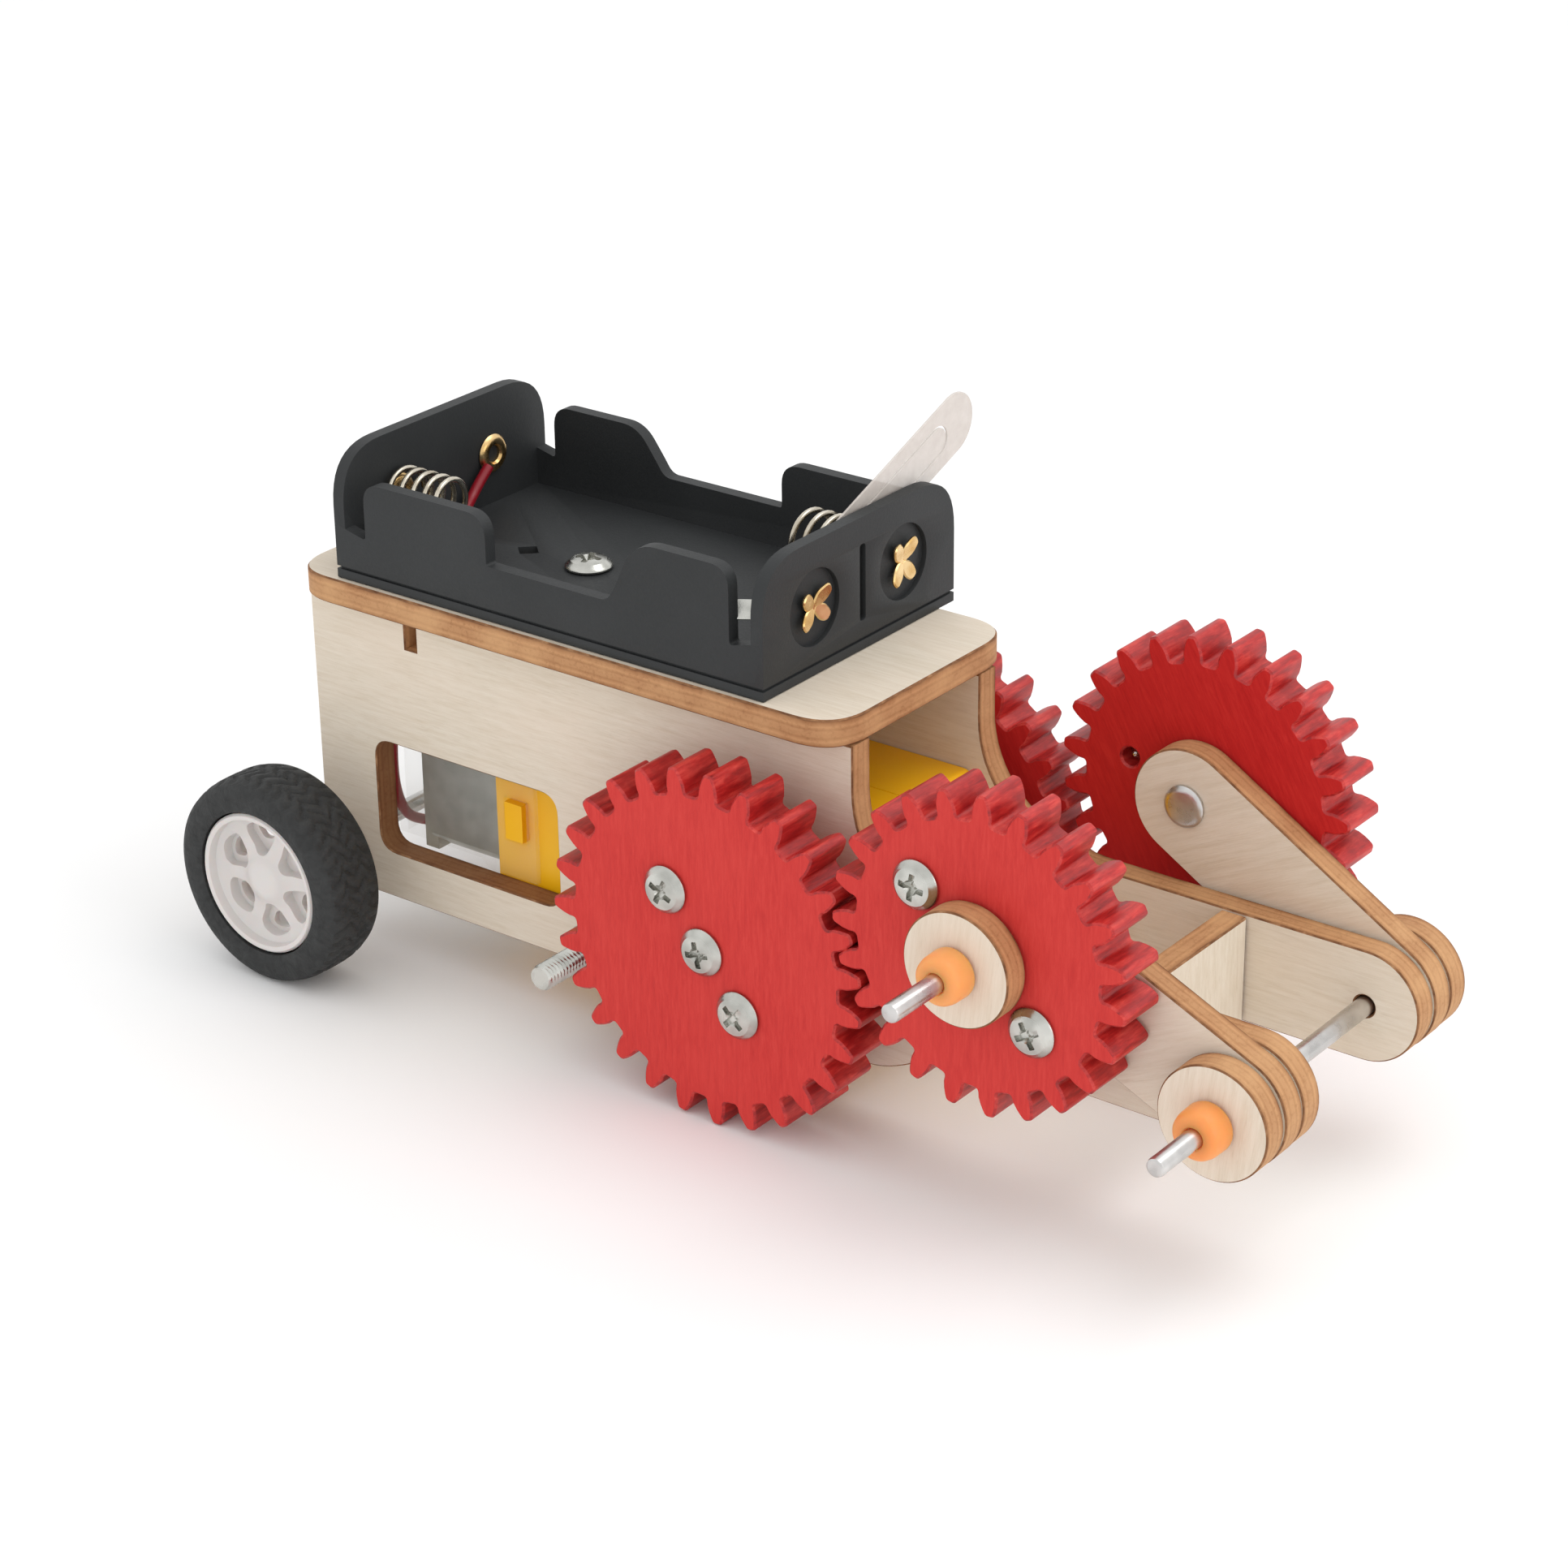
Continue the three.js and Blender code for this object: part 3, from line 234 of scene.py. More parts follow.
def red_face(name, dark, mid, light, turn=0.0):
    """Painted plywood whose fibres still show through the paint."""
    look = Look(name, mid, 0.62, specular_ior_level=0.22)
    fibres = look.noise((0.4, 3, 3.2), 4, 0.7, 0.4, turn)
    clouds = look.noise((8, 8, 8), 3, 0.6)
    tone = look.ramp(fibres, (0.28, dark), (0.5, mid), (0.75, light))
    tone = look.mix(look.ramp(clouds, (0.38, (0, 0, 0)), (0.72, (0.35, 0.35, 0.35))), tone, light)
    return look.colour(tone).rough(fibres, 0.52, 0.72).bump(fibres, 0.03).material


def red_edge():
    """Painted laser-cut edge: glossy in places, with darker soaked streaks across the teeth."""
    look = Look("red_edge", srgb(190, 40, 38), 0.45, specular_ior_level=0.5)
    streaks = look.noise((0.7, 5, 0.7), 4, 0.65)
    soak = look.noise((2.4, 2.4, 2.4), 2, 0.6)
    tone = look.ramp(streaks, (0.3, srgb(132, 16, 20)), (0.5, srgb(188, 36, 34)), (0.72, srgb(220, 74, 64)))
    tone = look.mix(look.ramp(soak, (0.45, (0, 0, 0)), (0.7, (0.6, 0.6, 0.6))), tone, srgb(150, 20, 24))
    return look.colour(tone).rough(streaks, 0.3, 0.6).bump(streaks, 0.06).material


def moulded(name, colour, other, roughness, grain=0.25, height=0.012, **sockets):
    """Moulded plastic or rubber: a fine grain and a slow change of tone."""
    look = Look(name, colour, roughness, **sockets)
    fine = look.noise((grain,) * 3, 3, 0.6)
    slow = look.noise((12, 12, 12), 3, 0.5)
    tone = look.ramp(slow, (0.3, other), (0.7, colour))
    return look.colour(tone).rough(fine, roughness - 0.07, roughness + 0.1).bump(fine, height).material


def rubber():
    """Soft black rubber with a wavy, slightly uneven skin."""
    look = Look("tyre_rubber", srgb(50, 51, 51), 0.7, specular_ior_level=0.35)
    waves = look.noise((1.3, 2.2, 1.3), 3, 0.6, 0.6)
    fine = look.noise((0.4, 0.4, 0.4), 3, 0.6)
    tone = look.ramp(waves, (0.3, srgb(40, 41, 41)), (0.7, srgb(56, 57, 57)))
    return look.colour(tone).rough(fine, 0.62, 0.8).bump(waves, 0.22).bump(fine, 0.03).material


def plated(name, colour, other, roughness, stretch=(1.2, 1.2, 1.2)):
    """Bright metal with fine rubbing marks and small dull patches."""
    look = Look(name, colour, roughness, metallic=1.0)
    marks = look.noise(tuple(0.4 * s for s in stretch), 4, 0.7)
    patches = look.noise((2.5, 2.5, 2.5), 2, 0.5)
    tone = look.ramp(patches, (0.35, other), (0.65, colour))
    return look.colour(tone).rough(patches, roughness - 0.08, roughness + 0.14).bump(marks, 0.012).material


def clear(name, colour, lighter, roughness, haziness):
    """Clear film: mostly see-through, with a slight haze and soft waves."""
    look = Look(name, colour, roughness, alpha=haziness)
    waves = look.noise((7, 7, 7), 2, 0.5)
    haze = look.noise((1.5, 1.5, 1.5), 3, 0.6)
    tone = look.ramp(haze, (0.3, colour), (0.75, lighter))
    return look.colour(tone).rough(haze, roughness * 0.6, roughness * 1.5).bump(waves, 0.05).material


FACE = ply_face("birch_face")
FACE_UPRIGHT = ply_face("birch_face_upright", math.radians(84))
FACE_SLANTED = ply_face("birch_face_slanted", math.radians(26))
EDGE = ply_edge("birch_edge")
# The walls of holes get a darker copy of the edge look: painted shade inside the holes.
HOLE_EDGE_SHADED = ply_edge("birch_hole_edge_painted_shade", (0.55, 0.48, 0.44))
RIM_LINE = ply_rim()
RED_OUTER = red_face("red_outer_face", srgb(192, 46, 44), srgb(203, 54, 50), srgb(212, 66, 60))
RED_INNER = red_face("red_inner_face", srgb(180, 24, 26), srgb(193, 32, 32), srgb(204, 44, 40), 0.5)
RED_EDGE = red_edge()
BLACK = moulded("holder_black", srgb(46, 48, 49), srgb(40, 42, 43), 0.55, 0.3, 0.02, specular_ior_level=0.35)
RUBBER = rubber()
WHITE = moulded(
    "rim_white", srgb(222, 217, 214), srgb(212, 207, 204), 0.34, 0.8, 0.006,
    subsurface_weight=0.2, subsurface_scale=0.001,
)
YELLOW = moulded("gearbox_yellow", srgb(255, 196, 10), srgb(250, 182, 6), 0.34, 0.5, 0.008)
SILICONE = moulded(
    "silicone_orange", srgb(250, 162, 92), srgb(246, 148, 76), 0.42, 0.8, 0.01,
    subsurface_weight=0.8, subsurface_scale=0.004,
)
STEEL = plated("zinc_steel", srgb(206, 206, 200), srgb(176, 176, 170), 0.22)
SPRING_STEEL = plated("spring_steel", srgb(222, 216, 202), srgb(186, 176, 158), 0.2)
ROD_STEEL = plated("drawn_rod", srgb(214, 212, 210), srgb(188, 186, 184), 0.26, (1.2, 8, 1.2))
CAN_STEEL = plated("can_steel", srgb(202, 204, 200), srgb(186, 188, 184), 0.5, (6, 1.2, 1.2))
BRASS = plated("rivet_brass", srgb(242, 212, 158), srgb(206, 164, 100), 0.24)
FILM = clear("clear_film", srgb(212, 203, 195), srgb(224, 216, 209), 0.2, 0.66)
STRAP = clear("clear_strap", srgb(216, 218, 208), srgb(232, 234, 226), 0.14, 0.07)
RED_WIRE = moulded("wire_red", srgb(160, 18, 36), srgb(136, 12, 28), 0.34, 0.8, 0.006)
BLACK_WIRE = moulded("wire_black", srgb(34, 34, 36), srgb(26, 26, 28), 0.36, 0.8, 0.006)


# ---- Outlines: lists of points in a plane ----
def arc(centre, r, start, end, steps):
    """Points of an arc, with angles in radians from the first axis towards the second."""
    angles = [start + (end - start) * k / steps for k in range(steps + 1)]
    return [(centre[0] + r * math.cos(a), centre[1] + r * math.sin(a)) for a in angles]


def circle(centre, r, steps=64):
    return arc(centre, r, 0, 2 * math.pi, steps)[:-1]


def bezier(a, b, c, d, steps=18):
    """Points of a cubic curve from a to d, pulled towards b and c."""
    points = []
    for k in range(steps + 1):
        t = k / steps
        shares = ((1 - t) ** 3, 3 * t * (1 - t) ** 2, 3 * t * t * (1 - t), t**3)
        points.append(tuple(sum(s * p[i] for s, p in zip(shares, (a, b, c, d))) for i in (0, 1)))
    return points


def rounded(points, steps=5):
    """Corners given as (u, v, radius), each turned into a smooth bend; a radius of 0 stays sharp."""
    out = []
    for i, (u, v, radius) in enumerate(points):
        here = Vector((u, v))
        before = Vector(points[i - 1][:2]) - here
        after = Vector(points[(i + 1) % len(points)][:2]) - here
        reach = min(radius, 0.48 * before.length, 0.48 * after.length)
        if reach < 1e-6:
            out.append((u, v))
            continue
        start, end = here + before.normalized() * reach, here + after.normalized() * reach
        for k in range(steps + 1):
            t = k / steps
            out.append(tuple(start * (1 - t) ** 2 + here * 2 * t * (1 - t) + end * t * t))
    return out


def box_outline(u0, u1, v0, v1, radius=0.0, steps=6):
    return rounded([(u0, v0, radius), (u1, v0, radius), (u1, v1, radius), (u0, v1, radius)], steps)


def area(loop):
    """The area inside a loop, positive where the loop runs anticlockwise."""
    return sum(a[0] * b[1] - b[0] * a[1] for a, b in zip(loop, loop[1:] + loop[:1])) / 2


def inset(loop, distance):
    """The loop moved to its left by a distance, with mitred corners."""
    out = []
    for i, point in enumerate(loop):
        here = Vector(point)
        before = (here - Vector(loop[i - 1])).normalized()
        after = (Vector(loop[(i + 1) % len(loop)]) - here).normalized()
        left = Vector((-before.y, before.x)) + Vector((-after.y, after.x))
        stretch = max(0.5, left.length_squared / 2)
        out.append(tuple(here + left * (distance / stretch)))
    return out


# ---- Meshes ----
def spot(axis, u, v, t):
    """A point at t along an axis, and at u and v across it."""
    return {"X": (t, u, v), "Y": (u, t, v), "Z": (u, v, t)}[axis]


def mesh_object(name, vertices, faces, face_looks=None, across=None):
    mesh = bpy.data.meshes.new(name)
    mesh.from_pydata([Vector(v) * MM for v in vertices], [], faces)
    if face_looks:
        mesh.polygons.foreach_set("material_index", face_looks)
    if across:
        mesh.attributes.new("across", "FLOAT", "POINT").data.foreach_set("value", across)
    edit = bmesh.new()
    edit.from_mesh(mesh)
    bmesh.ops.recalc_face_normals(edit, faces=edit.faces)
    edit.to_mesh(mesh)
    edit.free()
    made = bpy.data.objects.new(name, mesh)
    bpy.context.scene.collection.objects.link(made)
    return made


LOW_FACE, HIGH_FACE, OUTER_EDGE, BEVEL, INNER_EDGE = range(5)


def plate(name, loops, t0, t1, axis="Y", bevel=0.12):
    """A flat plate: outline first, then holes. Each kind of face has its own look, numbered above."""
    t0, t1 = min(t0, t1), max(t0, t1)
    loops = [loop if (area(loop) > 0) == (i == 0) else loop[::-1] for i, loop in enumerate(loops)]
    vertices, faces, looks, across, caps = [], [], [], [], []
    for hole, loop in enumerate(loops):
        shrunk = inset(loop, bevel)
        rings = [(shrunk, t0, 0.0), (loop, t0 + bevel, 0.06), (loop, t1 - bevel, 0.94), (shrunk, t1, 1.0)]
        first, count = len(vertices), len(loop)
        for ring, t, share in rings:
            vertices += [spot(axis, u, v, t) for u, v in ring]
            across += [share] * count
        for step in range(3):
            for i in range(count):
                a, b = first + step * count + i, first + step * count + (i + 1) % count
                faces.append((a, b, b + count, a + count))
                looks.append(BEVEL if step != 1 else INNER_EDGE if hole else OUTER_EDGE)
        caps.append(shrunk)
    sizes = [len(cap) for cap in caps]
    rings_each = 4
    starts = [rings_each * sum(sizes[:k]) for k in range(len(sizes))]
    index = [(start, count, i) for start, count in zip(starts, sizes) for i in range(count)]
    for a, b, c in tessellate_polygon([[(u, v, 0) for u, v in cap] for cap in caps]):
        corner = [index[k] for k in (a, b, c)]
        faces.append(tuple(start + i for start, count, i in corner))
        looks.append(LOW_FACE)
        faces.append(tuple(start + 3 * count + i for start, count, i in corner))
        looks.append(HIGH_FACE)
    return mesh_object(name, vertices, faces, looks, across)


def turned(name, profile, centre, side=1, axis="Y", segments=64, closed=False):
    """A turned piece: its profile lists radius and distance along the axis, and may be a closed ring."""
    vertices, faces, rings = [], [], []
    for r, t in profile:
        count = segments if r > 1e-6 else 1
        rings.append([len(vertices) + i for i in range(count)])
        for i in range(count):
            angle = 2 * math.pi * i / segments
            u, v = centre[0] + r * math.cos(angle), centre[1] + r * math.sin(angle)
            vertices.append(spot(axis, u, v, side * t))
    for a, b in zip(rings, rings[1:] + (rings[:1] if closed else [])):
        for i in range(segments):
            j = (i + 1) % segments
            face = dict.fromkeys([a[i % len(a)], a[j % len(a)], b[j % len(b)], b[i % len(b)]])
            if len(face) > 2:
                faces.append(tuple(face))
    return mesh_object(name, vertices, faces)


def tube(name, points, radius):
    """A round wire along points, with closed ends."""
    curve = bpy.data.curves.new(name, "CURVE")
    curve.dimensions = "3D"
    curve.bevel_depth = radius * MM
    curve.bevel_resolution = 4
    curve.use_fill_caps = True
    spline = curve.splines.new("POLY")
    spline.points.add(len(points) - 1)
    for target, point in zip(spline.points, points):
        target.co = (*(Vector(point) * MM), 1)
    drawn = bpy.data.objects.new(name + "_route", curve)
    bpy.context.scene.collection.objects.link(drawn)
    bpy.context.view_layer.update()
    mesh = bpy.data.meshes.new_from_object(drawn.evaluated_get(bpy.context.evaluated_depsgraph_get()))
    bpy.data.objects.remove(drawn)
    mesh.name = name
    made = bpy.data.objects.new(name, mesh)
    bpy.context.scene.collection.objects.link(made)
    return made


def through(points, steps=8):
    """A smooth path that passes through every point."""
    ends = [Vector(points[0]) * 2 - Vector(points[1]), Vector(points[-1]) * 2 - Vector(points[-2])]
    p = [ends[0], *map(Vector, points), ends[1]]
    out = []
    for i in range(1, len(p) - 2):
        for k in range(steps):
            t = k / steps
            a, b = 2 * p[i] + (p[i + 1] - p[i - 1]) * t, 2 * p[i - 1] - 5 * p[i] + 4 * p[i + 1] - p[i + 2]
            out.append((a + b * t**2 + (3 * p[i] - p[i - 1] - 3 * p[i + 1] + p[i + 2]) * t**3) / 2)
    return out + [p[-2]]


def settle(piece):
    """Applies a piece's modifiers."""
    bpy.context.view_layer.update()
    mesh = bpy.data.meshes.new_from_object(piece.evaluated_get(bpy.context.evaluated_depsgraph_get()))
    piece.modifiers.clear()
    piece.data = mesh
    return piece


def combine(piece, others, operation):
    """Joins others to a piece or cuts them from it, and removes them."""
    for other in others:
        boolean = piece.modifiers.new("shape", "BOOLEAN")
        boolean.operation = operation
        boolean.solver = "EXACT"
        boolean.object = other
        settle(piece)
        bpy.data.objects.remove(other)
    return piece


def soften(piece, width, segments=2, angle=35):
    """Rounds the edges that are sharper than an angle in degrees."""
    bevel = piece.modifiers.new("soft_edges", "BEVEL")
    bevel.width = width * MM
    bevel.segments = segments
    bevel.limit_method = "ANGLE"
    bevel.angle_limit = math.radians(angle)
    bevel.miter_outer = "MITER_ARC"
    return settle(piece)


def dress(piece, looks, body, slot, *nodes, sharp=32):
    """Gives a piece its materials, shading and body, and hides the CAD nodes it stands for."""
    for look in looks:
        piece.data.materials.append(look)
    piece.data.shade_smooth()
    piece.data.set_sharp_from_angle(angle=math.radians(sharp))
    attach(piece, body)
    if nodes:
        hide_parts(*nodes)
    return piece


def ply(name, loops, t0, t1, body, axis="Y", face=FACE):
    """A plywood piece that stands for the CAD node of its name."""
    made = plate(name + "_wood", loops, t0, t1, axis, 0.16)
    return dress(made, [face, face, EDGE, RIM_LINE, HOLE_EDGE_SHADED], body, "plywood", name)


# ---- Plywood body ----
WINDOW = {"x0": -50.3, "x1": -24.4, "z0": 12.4, "z1": 25.7, "corner": 2.3}
SLOT = {"x0": -45.0, "x1": -43.4, "bottom": 37.6}
ROD_HOLE = 1.15
BOLT_HOLE = 1.6
SHAFT_HOLE = 3.2
SCREW_HOLE = 1.1
GEAR_SCREW_HOLE = 1.05


def side_panel(name, side):
    node = f"side_panel_{name}"
    rear, bottom, top = low(node).x, low(node).z, high(node).z
    axle = (FRONT_AXLE.x, FRONT_AXLE.z)
    half = high(node).x - axle[0]
    arm_top, arm_bottom = axle[1] + half, axle[1] - half
    front = 14.5
    bolt = middle("motor_bolt")
    outline = [(rear, bottom)]
    outline += bezier((15, bottom), (22, bottom), (24, arm_bottom), (32, arm_bottom))
    outline += arc(axle, half, -math.pi / 2, math.pi / 2, 28)
    outline += bezier((30, arm_top), (21, arm_top), (front, 29), (front, 37))
    outline += [(front, top), (SLOT["x1"], top), (SLOT["x1"], SLOT["bottom"])]
    outline += [(SLOT["x0"], SLOT["bottom"]), (SLOT["x0"], top), (rear, top)]
    window = box_outline(WINDOW["x0"], WINDOW["x1"], WINDOW["z0"], WINDOW["z1"], WINDOW["corner"])
    holes = [
        window,
        circle((DRIVE.x, DRIVE.z), SHAFT_HOLE, 32),
        circle((bolt.x, bolt.z), BOLT_HOLE, 24),
        circle((REAR_AXLE.x, REAR_AXLE.z), ROD_HOLE, 24),
        circle(axle, ROD_HOLE, 24),
    ]
    inner, outer = outwards(node, side)
    ply(node, [outline, *holes], side * inner, side * outer, "body")


def top_panel():
    node = "top_panel"
    corner = 5.4
    a, b = low(node), high(node)
    outline = box_outline(a.x, b.x, a.y, b.y, corner, 12)
    screw, lead = middle("holder_screw"), LEAD_HOLE
    holes = [circle((screw.x, screw.y), SCREW_HOLE, 20), circle((lead["x"], lead["y"]), lead["r"], 24)]
    ply(node, [outline, *holes], a.z, b.z, "body", "Z")


def front_brace():
    node = "front_cross_brace"
    a, b = low(node), high(node)
    ply(node, [box_outline(a.y, b.y, a.z, b.z)], a.x, b.x, "body", "X", FACE_UPRIGHT)


def disc(node, name, hole, body, face, pilots=()):
    """A round plywood piece with a middle hole, and small holes where screws bite."""
    centre = middle(node)
    r = (high(node).x - low(node).x) / 2
    inner, outer = outwards(node, SIDES[name])
    place = (centre.x, centre.z)
    holes = [circle(place, hole, 28)] + [circle(p, SCREW_HOLE, 16) for p in pilots]
    side = SIDES[name]
    ply(node, [circle(place, r, 72), *holes], side * inner, side * outer, body, "Y", face)


def swing_link(name, side):
    node = f"swing_link_{name}"
    inner, outer = outwards(node, side)
    pin, axle = PINS[name], FRONT_AXLE
    lean = math.atan2(pin.z - axle.z, pin.x - axle.x)
    r = high(node).x - axle.x
    outline = arc((axle.x, axle.z), r, lean + math.pi / 2, lean + 1.5 * math.pi, 28)
    outline += arc((pin.x, pin.z), r, lean - math.pi / 2, lean + math.pi / 2, 28)
    holes = [circle((p.x, p.z), ROD_HOLE, 24) for p in (pin, axle)]
    ply(node, [outline, *holes], side * inner, side * outer, f"link_{name}", "Y", FACE_SLANTED)


# ---- Red gears ----
GEAR_MODULE = 1.37
ADDENDUM = 1.2
DEDENDUM = 1.6
BACKLASH = 0.34
PRESSURE_ANGLE = math.radians(20)
DRIVE_TEETH = 27
FRONT_TEETH = 23


def tooth_direction(node, centre, teeth):
    """The direction of one tooth of a CAD gear, from the vertices furthest from its centre."""
    points = [v.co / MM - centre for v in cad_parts[node].data.vertices]
    tip = max(math.hypot(p.x, p.z) for p in points)
    angles = [math.atan2(p.z, p.x) for p in points if math.hypot(p.x, p.z) > tip - 0.02]
    across = sum(math.sin(teeth * a) for a in angles)
    along = sum(math.cos(teeth * a) for a in angles)
    return math.atan2(across, along) / teeth


def gear_outline(centre, teeth, direction):
    """Involute teeth with rounded tips and roots."""
    pitch = GEAR_MODULE * teeth / 2
    root, tip = pitch - DEDENDUM, pitch + ADDENDUM

    def involute(r):
        lean = math.acos(min(1, pitch * math.cos(PRESSURE_ANGLE) / r))
        return math.tan(lean) - lean

    def half(r):
        return math.pi / (2 * teeth) - BACKLASH / (4 * pitch) + involute(pitch) - involute(r)

    heights = [(root, 0.55), (pitch - 0.7, 0), (pitch, 0), (pitch + 0.6, 0), (tip, 0.75)]
    corners = []
    for i in range(teeth):
        angle = direction + 2 * math.pi * i / teeth
        for flank, order in ((-1, heights), (1, heights[::-1])):
            for r, bend in order:
                a = angle + flank * half(r)
                corners.append((centre.x + r * math.cos(a), centre.z + r * math.sin(a), bend))
    return rounded(corners, 4)


def red_gear(node, name, teeth, body, screws, bore):
    side = SIDES[name]
    centre = middle(f"pin_spacer_{name}") if body.startswith("front") else DRIVE
    inner, outer = outwards(node, side)
    loops = [gear_outline(centre, teeth, tooth_direction(node, centre, teeth))]
    loops += [circle((p.x, p.z), GEAR_SCREW_HOLE, 20) for p in screws]
    if bore:
        loops.append(circle((centre.x, centre.z), bore, 24))
    made = plate(node + "_wood", loops, side * inner, side * outer, "Y", 0.22)
    caps = [RED_OUTER, RED_INNER] if side < 0 else [RED_INNER, RED_OUTER]
    dress(made, [*caps, RED_EDGE, RED_EDGE], body, "red_wood", node)


# ---- Fasteners and rods ----
SCREW_HEAD = 1.12  # height of the head


def screw_master():
    """A pan-head cross-recess screw along Y, its head's seat at 0."""
    shank, head = 0.95, 2.6
    profile = [
        (0, -5.4), (0.35, -5.1), (shank, -4.2), (shank, 0), (head - 0.15, 0), (head, 0.14), (head, 0.3),
        (head - 0.1, 0.46), (head - 0.34, 0.62), (head - 0.62, 0.92), (head - 1.1, 1.06),
        (0.9, SCREW_HEAD), (0, SCREW_HEAD),
    ]
    made = turned("screw_master", profile, (0, 0), segments=48)
    cutters = []
    for k in range(2):
        wing = plate("wing", [box_outline(-1.45, 1.45, -0.33, 0.33, 0.12)], 0.4, 2, "Y", 0.02)
        wing.data.transform(Matrix.Rotation(k * math.pi / 2, 4, "Y"))
        cutters.append(wing)
    cutters.append(turned("cone", [(0, 0.2), (0.3, 0.2), (0.9, 1.3), (0, 1.3)], (0, 0), segments=24))
    return soften(combine(made, cutters, "DIFFERENCE"), 0.07, 2, 40)


def screws(master):
    """A copy of the screw at each CAD screw, each stopped at its own angle."""
    for i, node in enumerate(sorted(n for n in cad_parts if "_screw_" in n)):
        name = node.rsplit("_", 1)[1]
        side = SIDES[name]
        centre = middle(node)
        seat = outwards(node, side)[1] - SCREW_HEAD
        copy = bpy.data.objects.new(node + "_head", master.data.copy())
        bpy.context.scene.collection.objects.link(copy)
        turn = Matrix.Rotation(0.35 + 0.47 * i, 4, "Y")
        flip = Matrix.Rotation(math.pi if side < 0 else 0, 4, "X")
        copy.data.transform(Matrix.Translation(Vector((centre.x, side * seat, centre.z)) * MM) @ flip @ turn)
        body = "drive" if node.startswith("drive") else f"front_wheel_{name}"
        dress(copy, [STEEL], body, "plated_steel", node, sharp=30)


def floor_screw(master):
    """The screw that holds the battery holder down."""
    node = "holder_screw"
    centre = middle(node)
    made = bpy.data.objects.new(node + "_head", master.data.copy())
    bpy.context.scene.collection.objects.link(made)
    place = Vector((centre.x, centre.y, high(node).z - SCREW_HEAD)) * MM
    upright = Matrix.Rotation(math.pi / 2, 4, "X")
    turn = Matrix.Rotation(0.3, 4, "Y")
    made.data.transform(Matrix.Translation(place) @ upright @ turn)
    dress(made, [STEEL], "body", "plated_steel", node, sharp=30)


def rod_with_ends(node, body, chamfer=0.25):
    """A straight rod along Y with rounded ends."""
    centre, r = middle(node), (high(node).x - low(node).x) / 2
    a, b = low(node).y, high(node).y
    profile = [(0, a), (r - chamfer, a), (r - 0.07, a + 0.12), (r, a + chamfer + 0.1)]
    profile += [(r, b - chamfer - 0.1), (r - 0.07, b - 0.12), (r - chamfer, b), (0, b)]
    made = turned(node + "_rod", profile, (centre.x, centre.z), segments=40)
    dress(made, [ROD_STEEL], body, "plated_steel", node)


def link_pin(name, side):
    """A rod with a wide, slightly domed head against the inside of the link."""
    node = f"link_pin_{name}"
    centre = PINS[name]
    inner, tip = outwards(node, side)
    head, r = (high(node).x - low(node).x) / 2, 1.0
    profile = [(0, inner), (head - 0.7, inner + 0.02), (head - 0.3, inner + 0.12), (head, inner + 0.42)]
    profile += [(head, inner + 0.68), (r, inner + 0.7), (r, tip - 0.35), (r - 0.08, tip - 0.12)]
    profile += [(r - 0.3, tip), (0, tip)]
    made = turned(node + "_rod", profile, (centre.x, centre.z), side, segments=48)
    dress(made, [ROD_STEEL], f"link_{name}", "plated_steel", node)


def stopper(node, body):
    """A short silicone sleeve with soft edges, a little shorter than its CAD solid."""
    name = node.rsplit("_", 1)[1]
    centre, r, bore = middle(node), (high(node).x - low(node).x) / 2, 1.06
    a, b = outwards(node, SIDES[name])
    shorter = 0.5
    b -= shorter
    profile = [(bore, a + 0.1), (bore + 0.1, a), (r - 0.25, a), (r - 0.06, a + 0.1), (r, a + 0.35)]
    profile += [(r - 0.05, b - 1.1), (r - 0.2, b - 0.5), (r - 0.5, b - 0.14), (r - 0.9, b)]
    profile += [(bore + 0.2, b), (bore, b - 0.15)]
    made = turned(node + "_sleeve", profile, (centre.x, centre.z), SIDES[name], closed=True)
    dress(made, [SILICONE], body, "orange_rubber", node, sharp=60)


BOLT_AXIS = Vector((-17.7, 0, 10.95))


def motor_bolt():
    """A long bolt with a round head on the left and a cut thread where it stands out on the right."""
    node = "motor_bolt"
    centre, r, pitch = BOLT_AXIS, 1.45, 0.5
    tip, seat, top = low(node).y, 12.6, high(node).y
    rings = [(0.0, tip, 0), (0.85 * r, tip, 0)]
    steps = 6
    turns = int((-seat - tip) / pitch)
    rings += [(r, tip + 0.25 + pitch * k / steps, 1) for k in range(turns * steps)]
    rings += [(r, seat, 0), (2.55, seat, 0), (2.8, seat + 0.2, 0), (2.8, seat + 0.9, 0), (2.5, seat + 1.5, 0)]
    rings += [(1.8, top - 0.12, 0), (1.0, top, 0), (0, top, 0)]
    segments = 36
    vertices, faces, loops = [], [], []
    for radius, t, cut in rings:
        count = segments if radius > 0 else 1
        loops.append([len(vertices) + i for i in range(count)])
        for i in range(count):
            angle = 2 * math.pi * i / segments
            wave = abs(2 * ((t / pitch + i / segments) % 1) - 1)
            reach = radius - cut * 0.28 * (1 - wave)
            vertices.append((centre.x + reach * math.cos(angle), t, centre.z + reach * math.sin(angle)))
    for a, b in zip(loops, loops[1:]):
        for i in range(segments):
            j = (i + 1) % segments
            face = dict.fromkeys([a[i % len(a)], a[j % len(a)], b[j % len(b)], b[i % len(b)]])
            faces.append(tuple(face))
    made = mesh_object(node + "_thread", vertices, faces)
    wing_outline = box_outline(-1.6, 1.6, -0.3, 0.3)
    cutters = [plate("wing", [wing_outline], seat + 1, top + 1, "Y", 0.02) for _ in range(2)]
    for k, wing in enumerate(cutters):
        wing.data.transform(Matrix.Translation(centre * MM) @ Matrix.Rotation(0.4 + k * math.pi / 2, 4, "Y"))
    combine(made, cutters, "DIFFERENCE")
    dress(made, [STEEL], "body", "plated_steel", node, sharp=40)


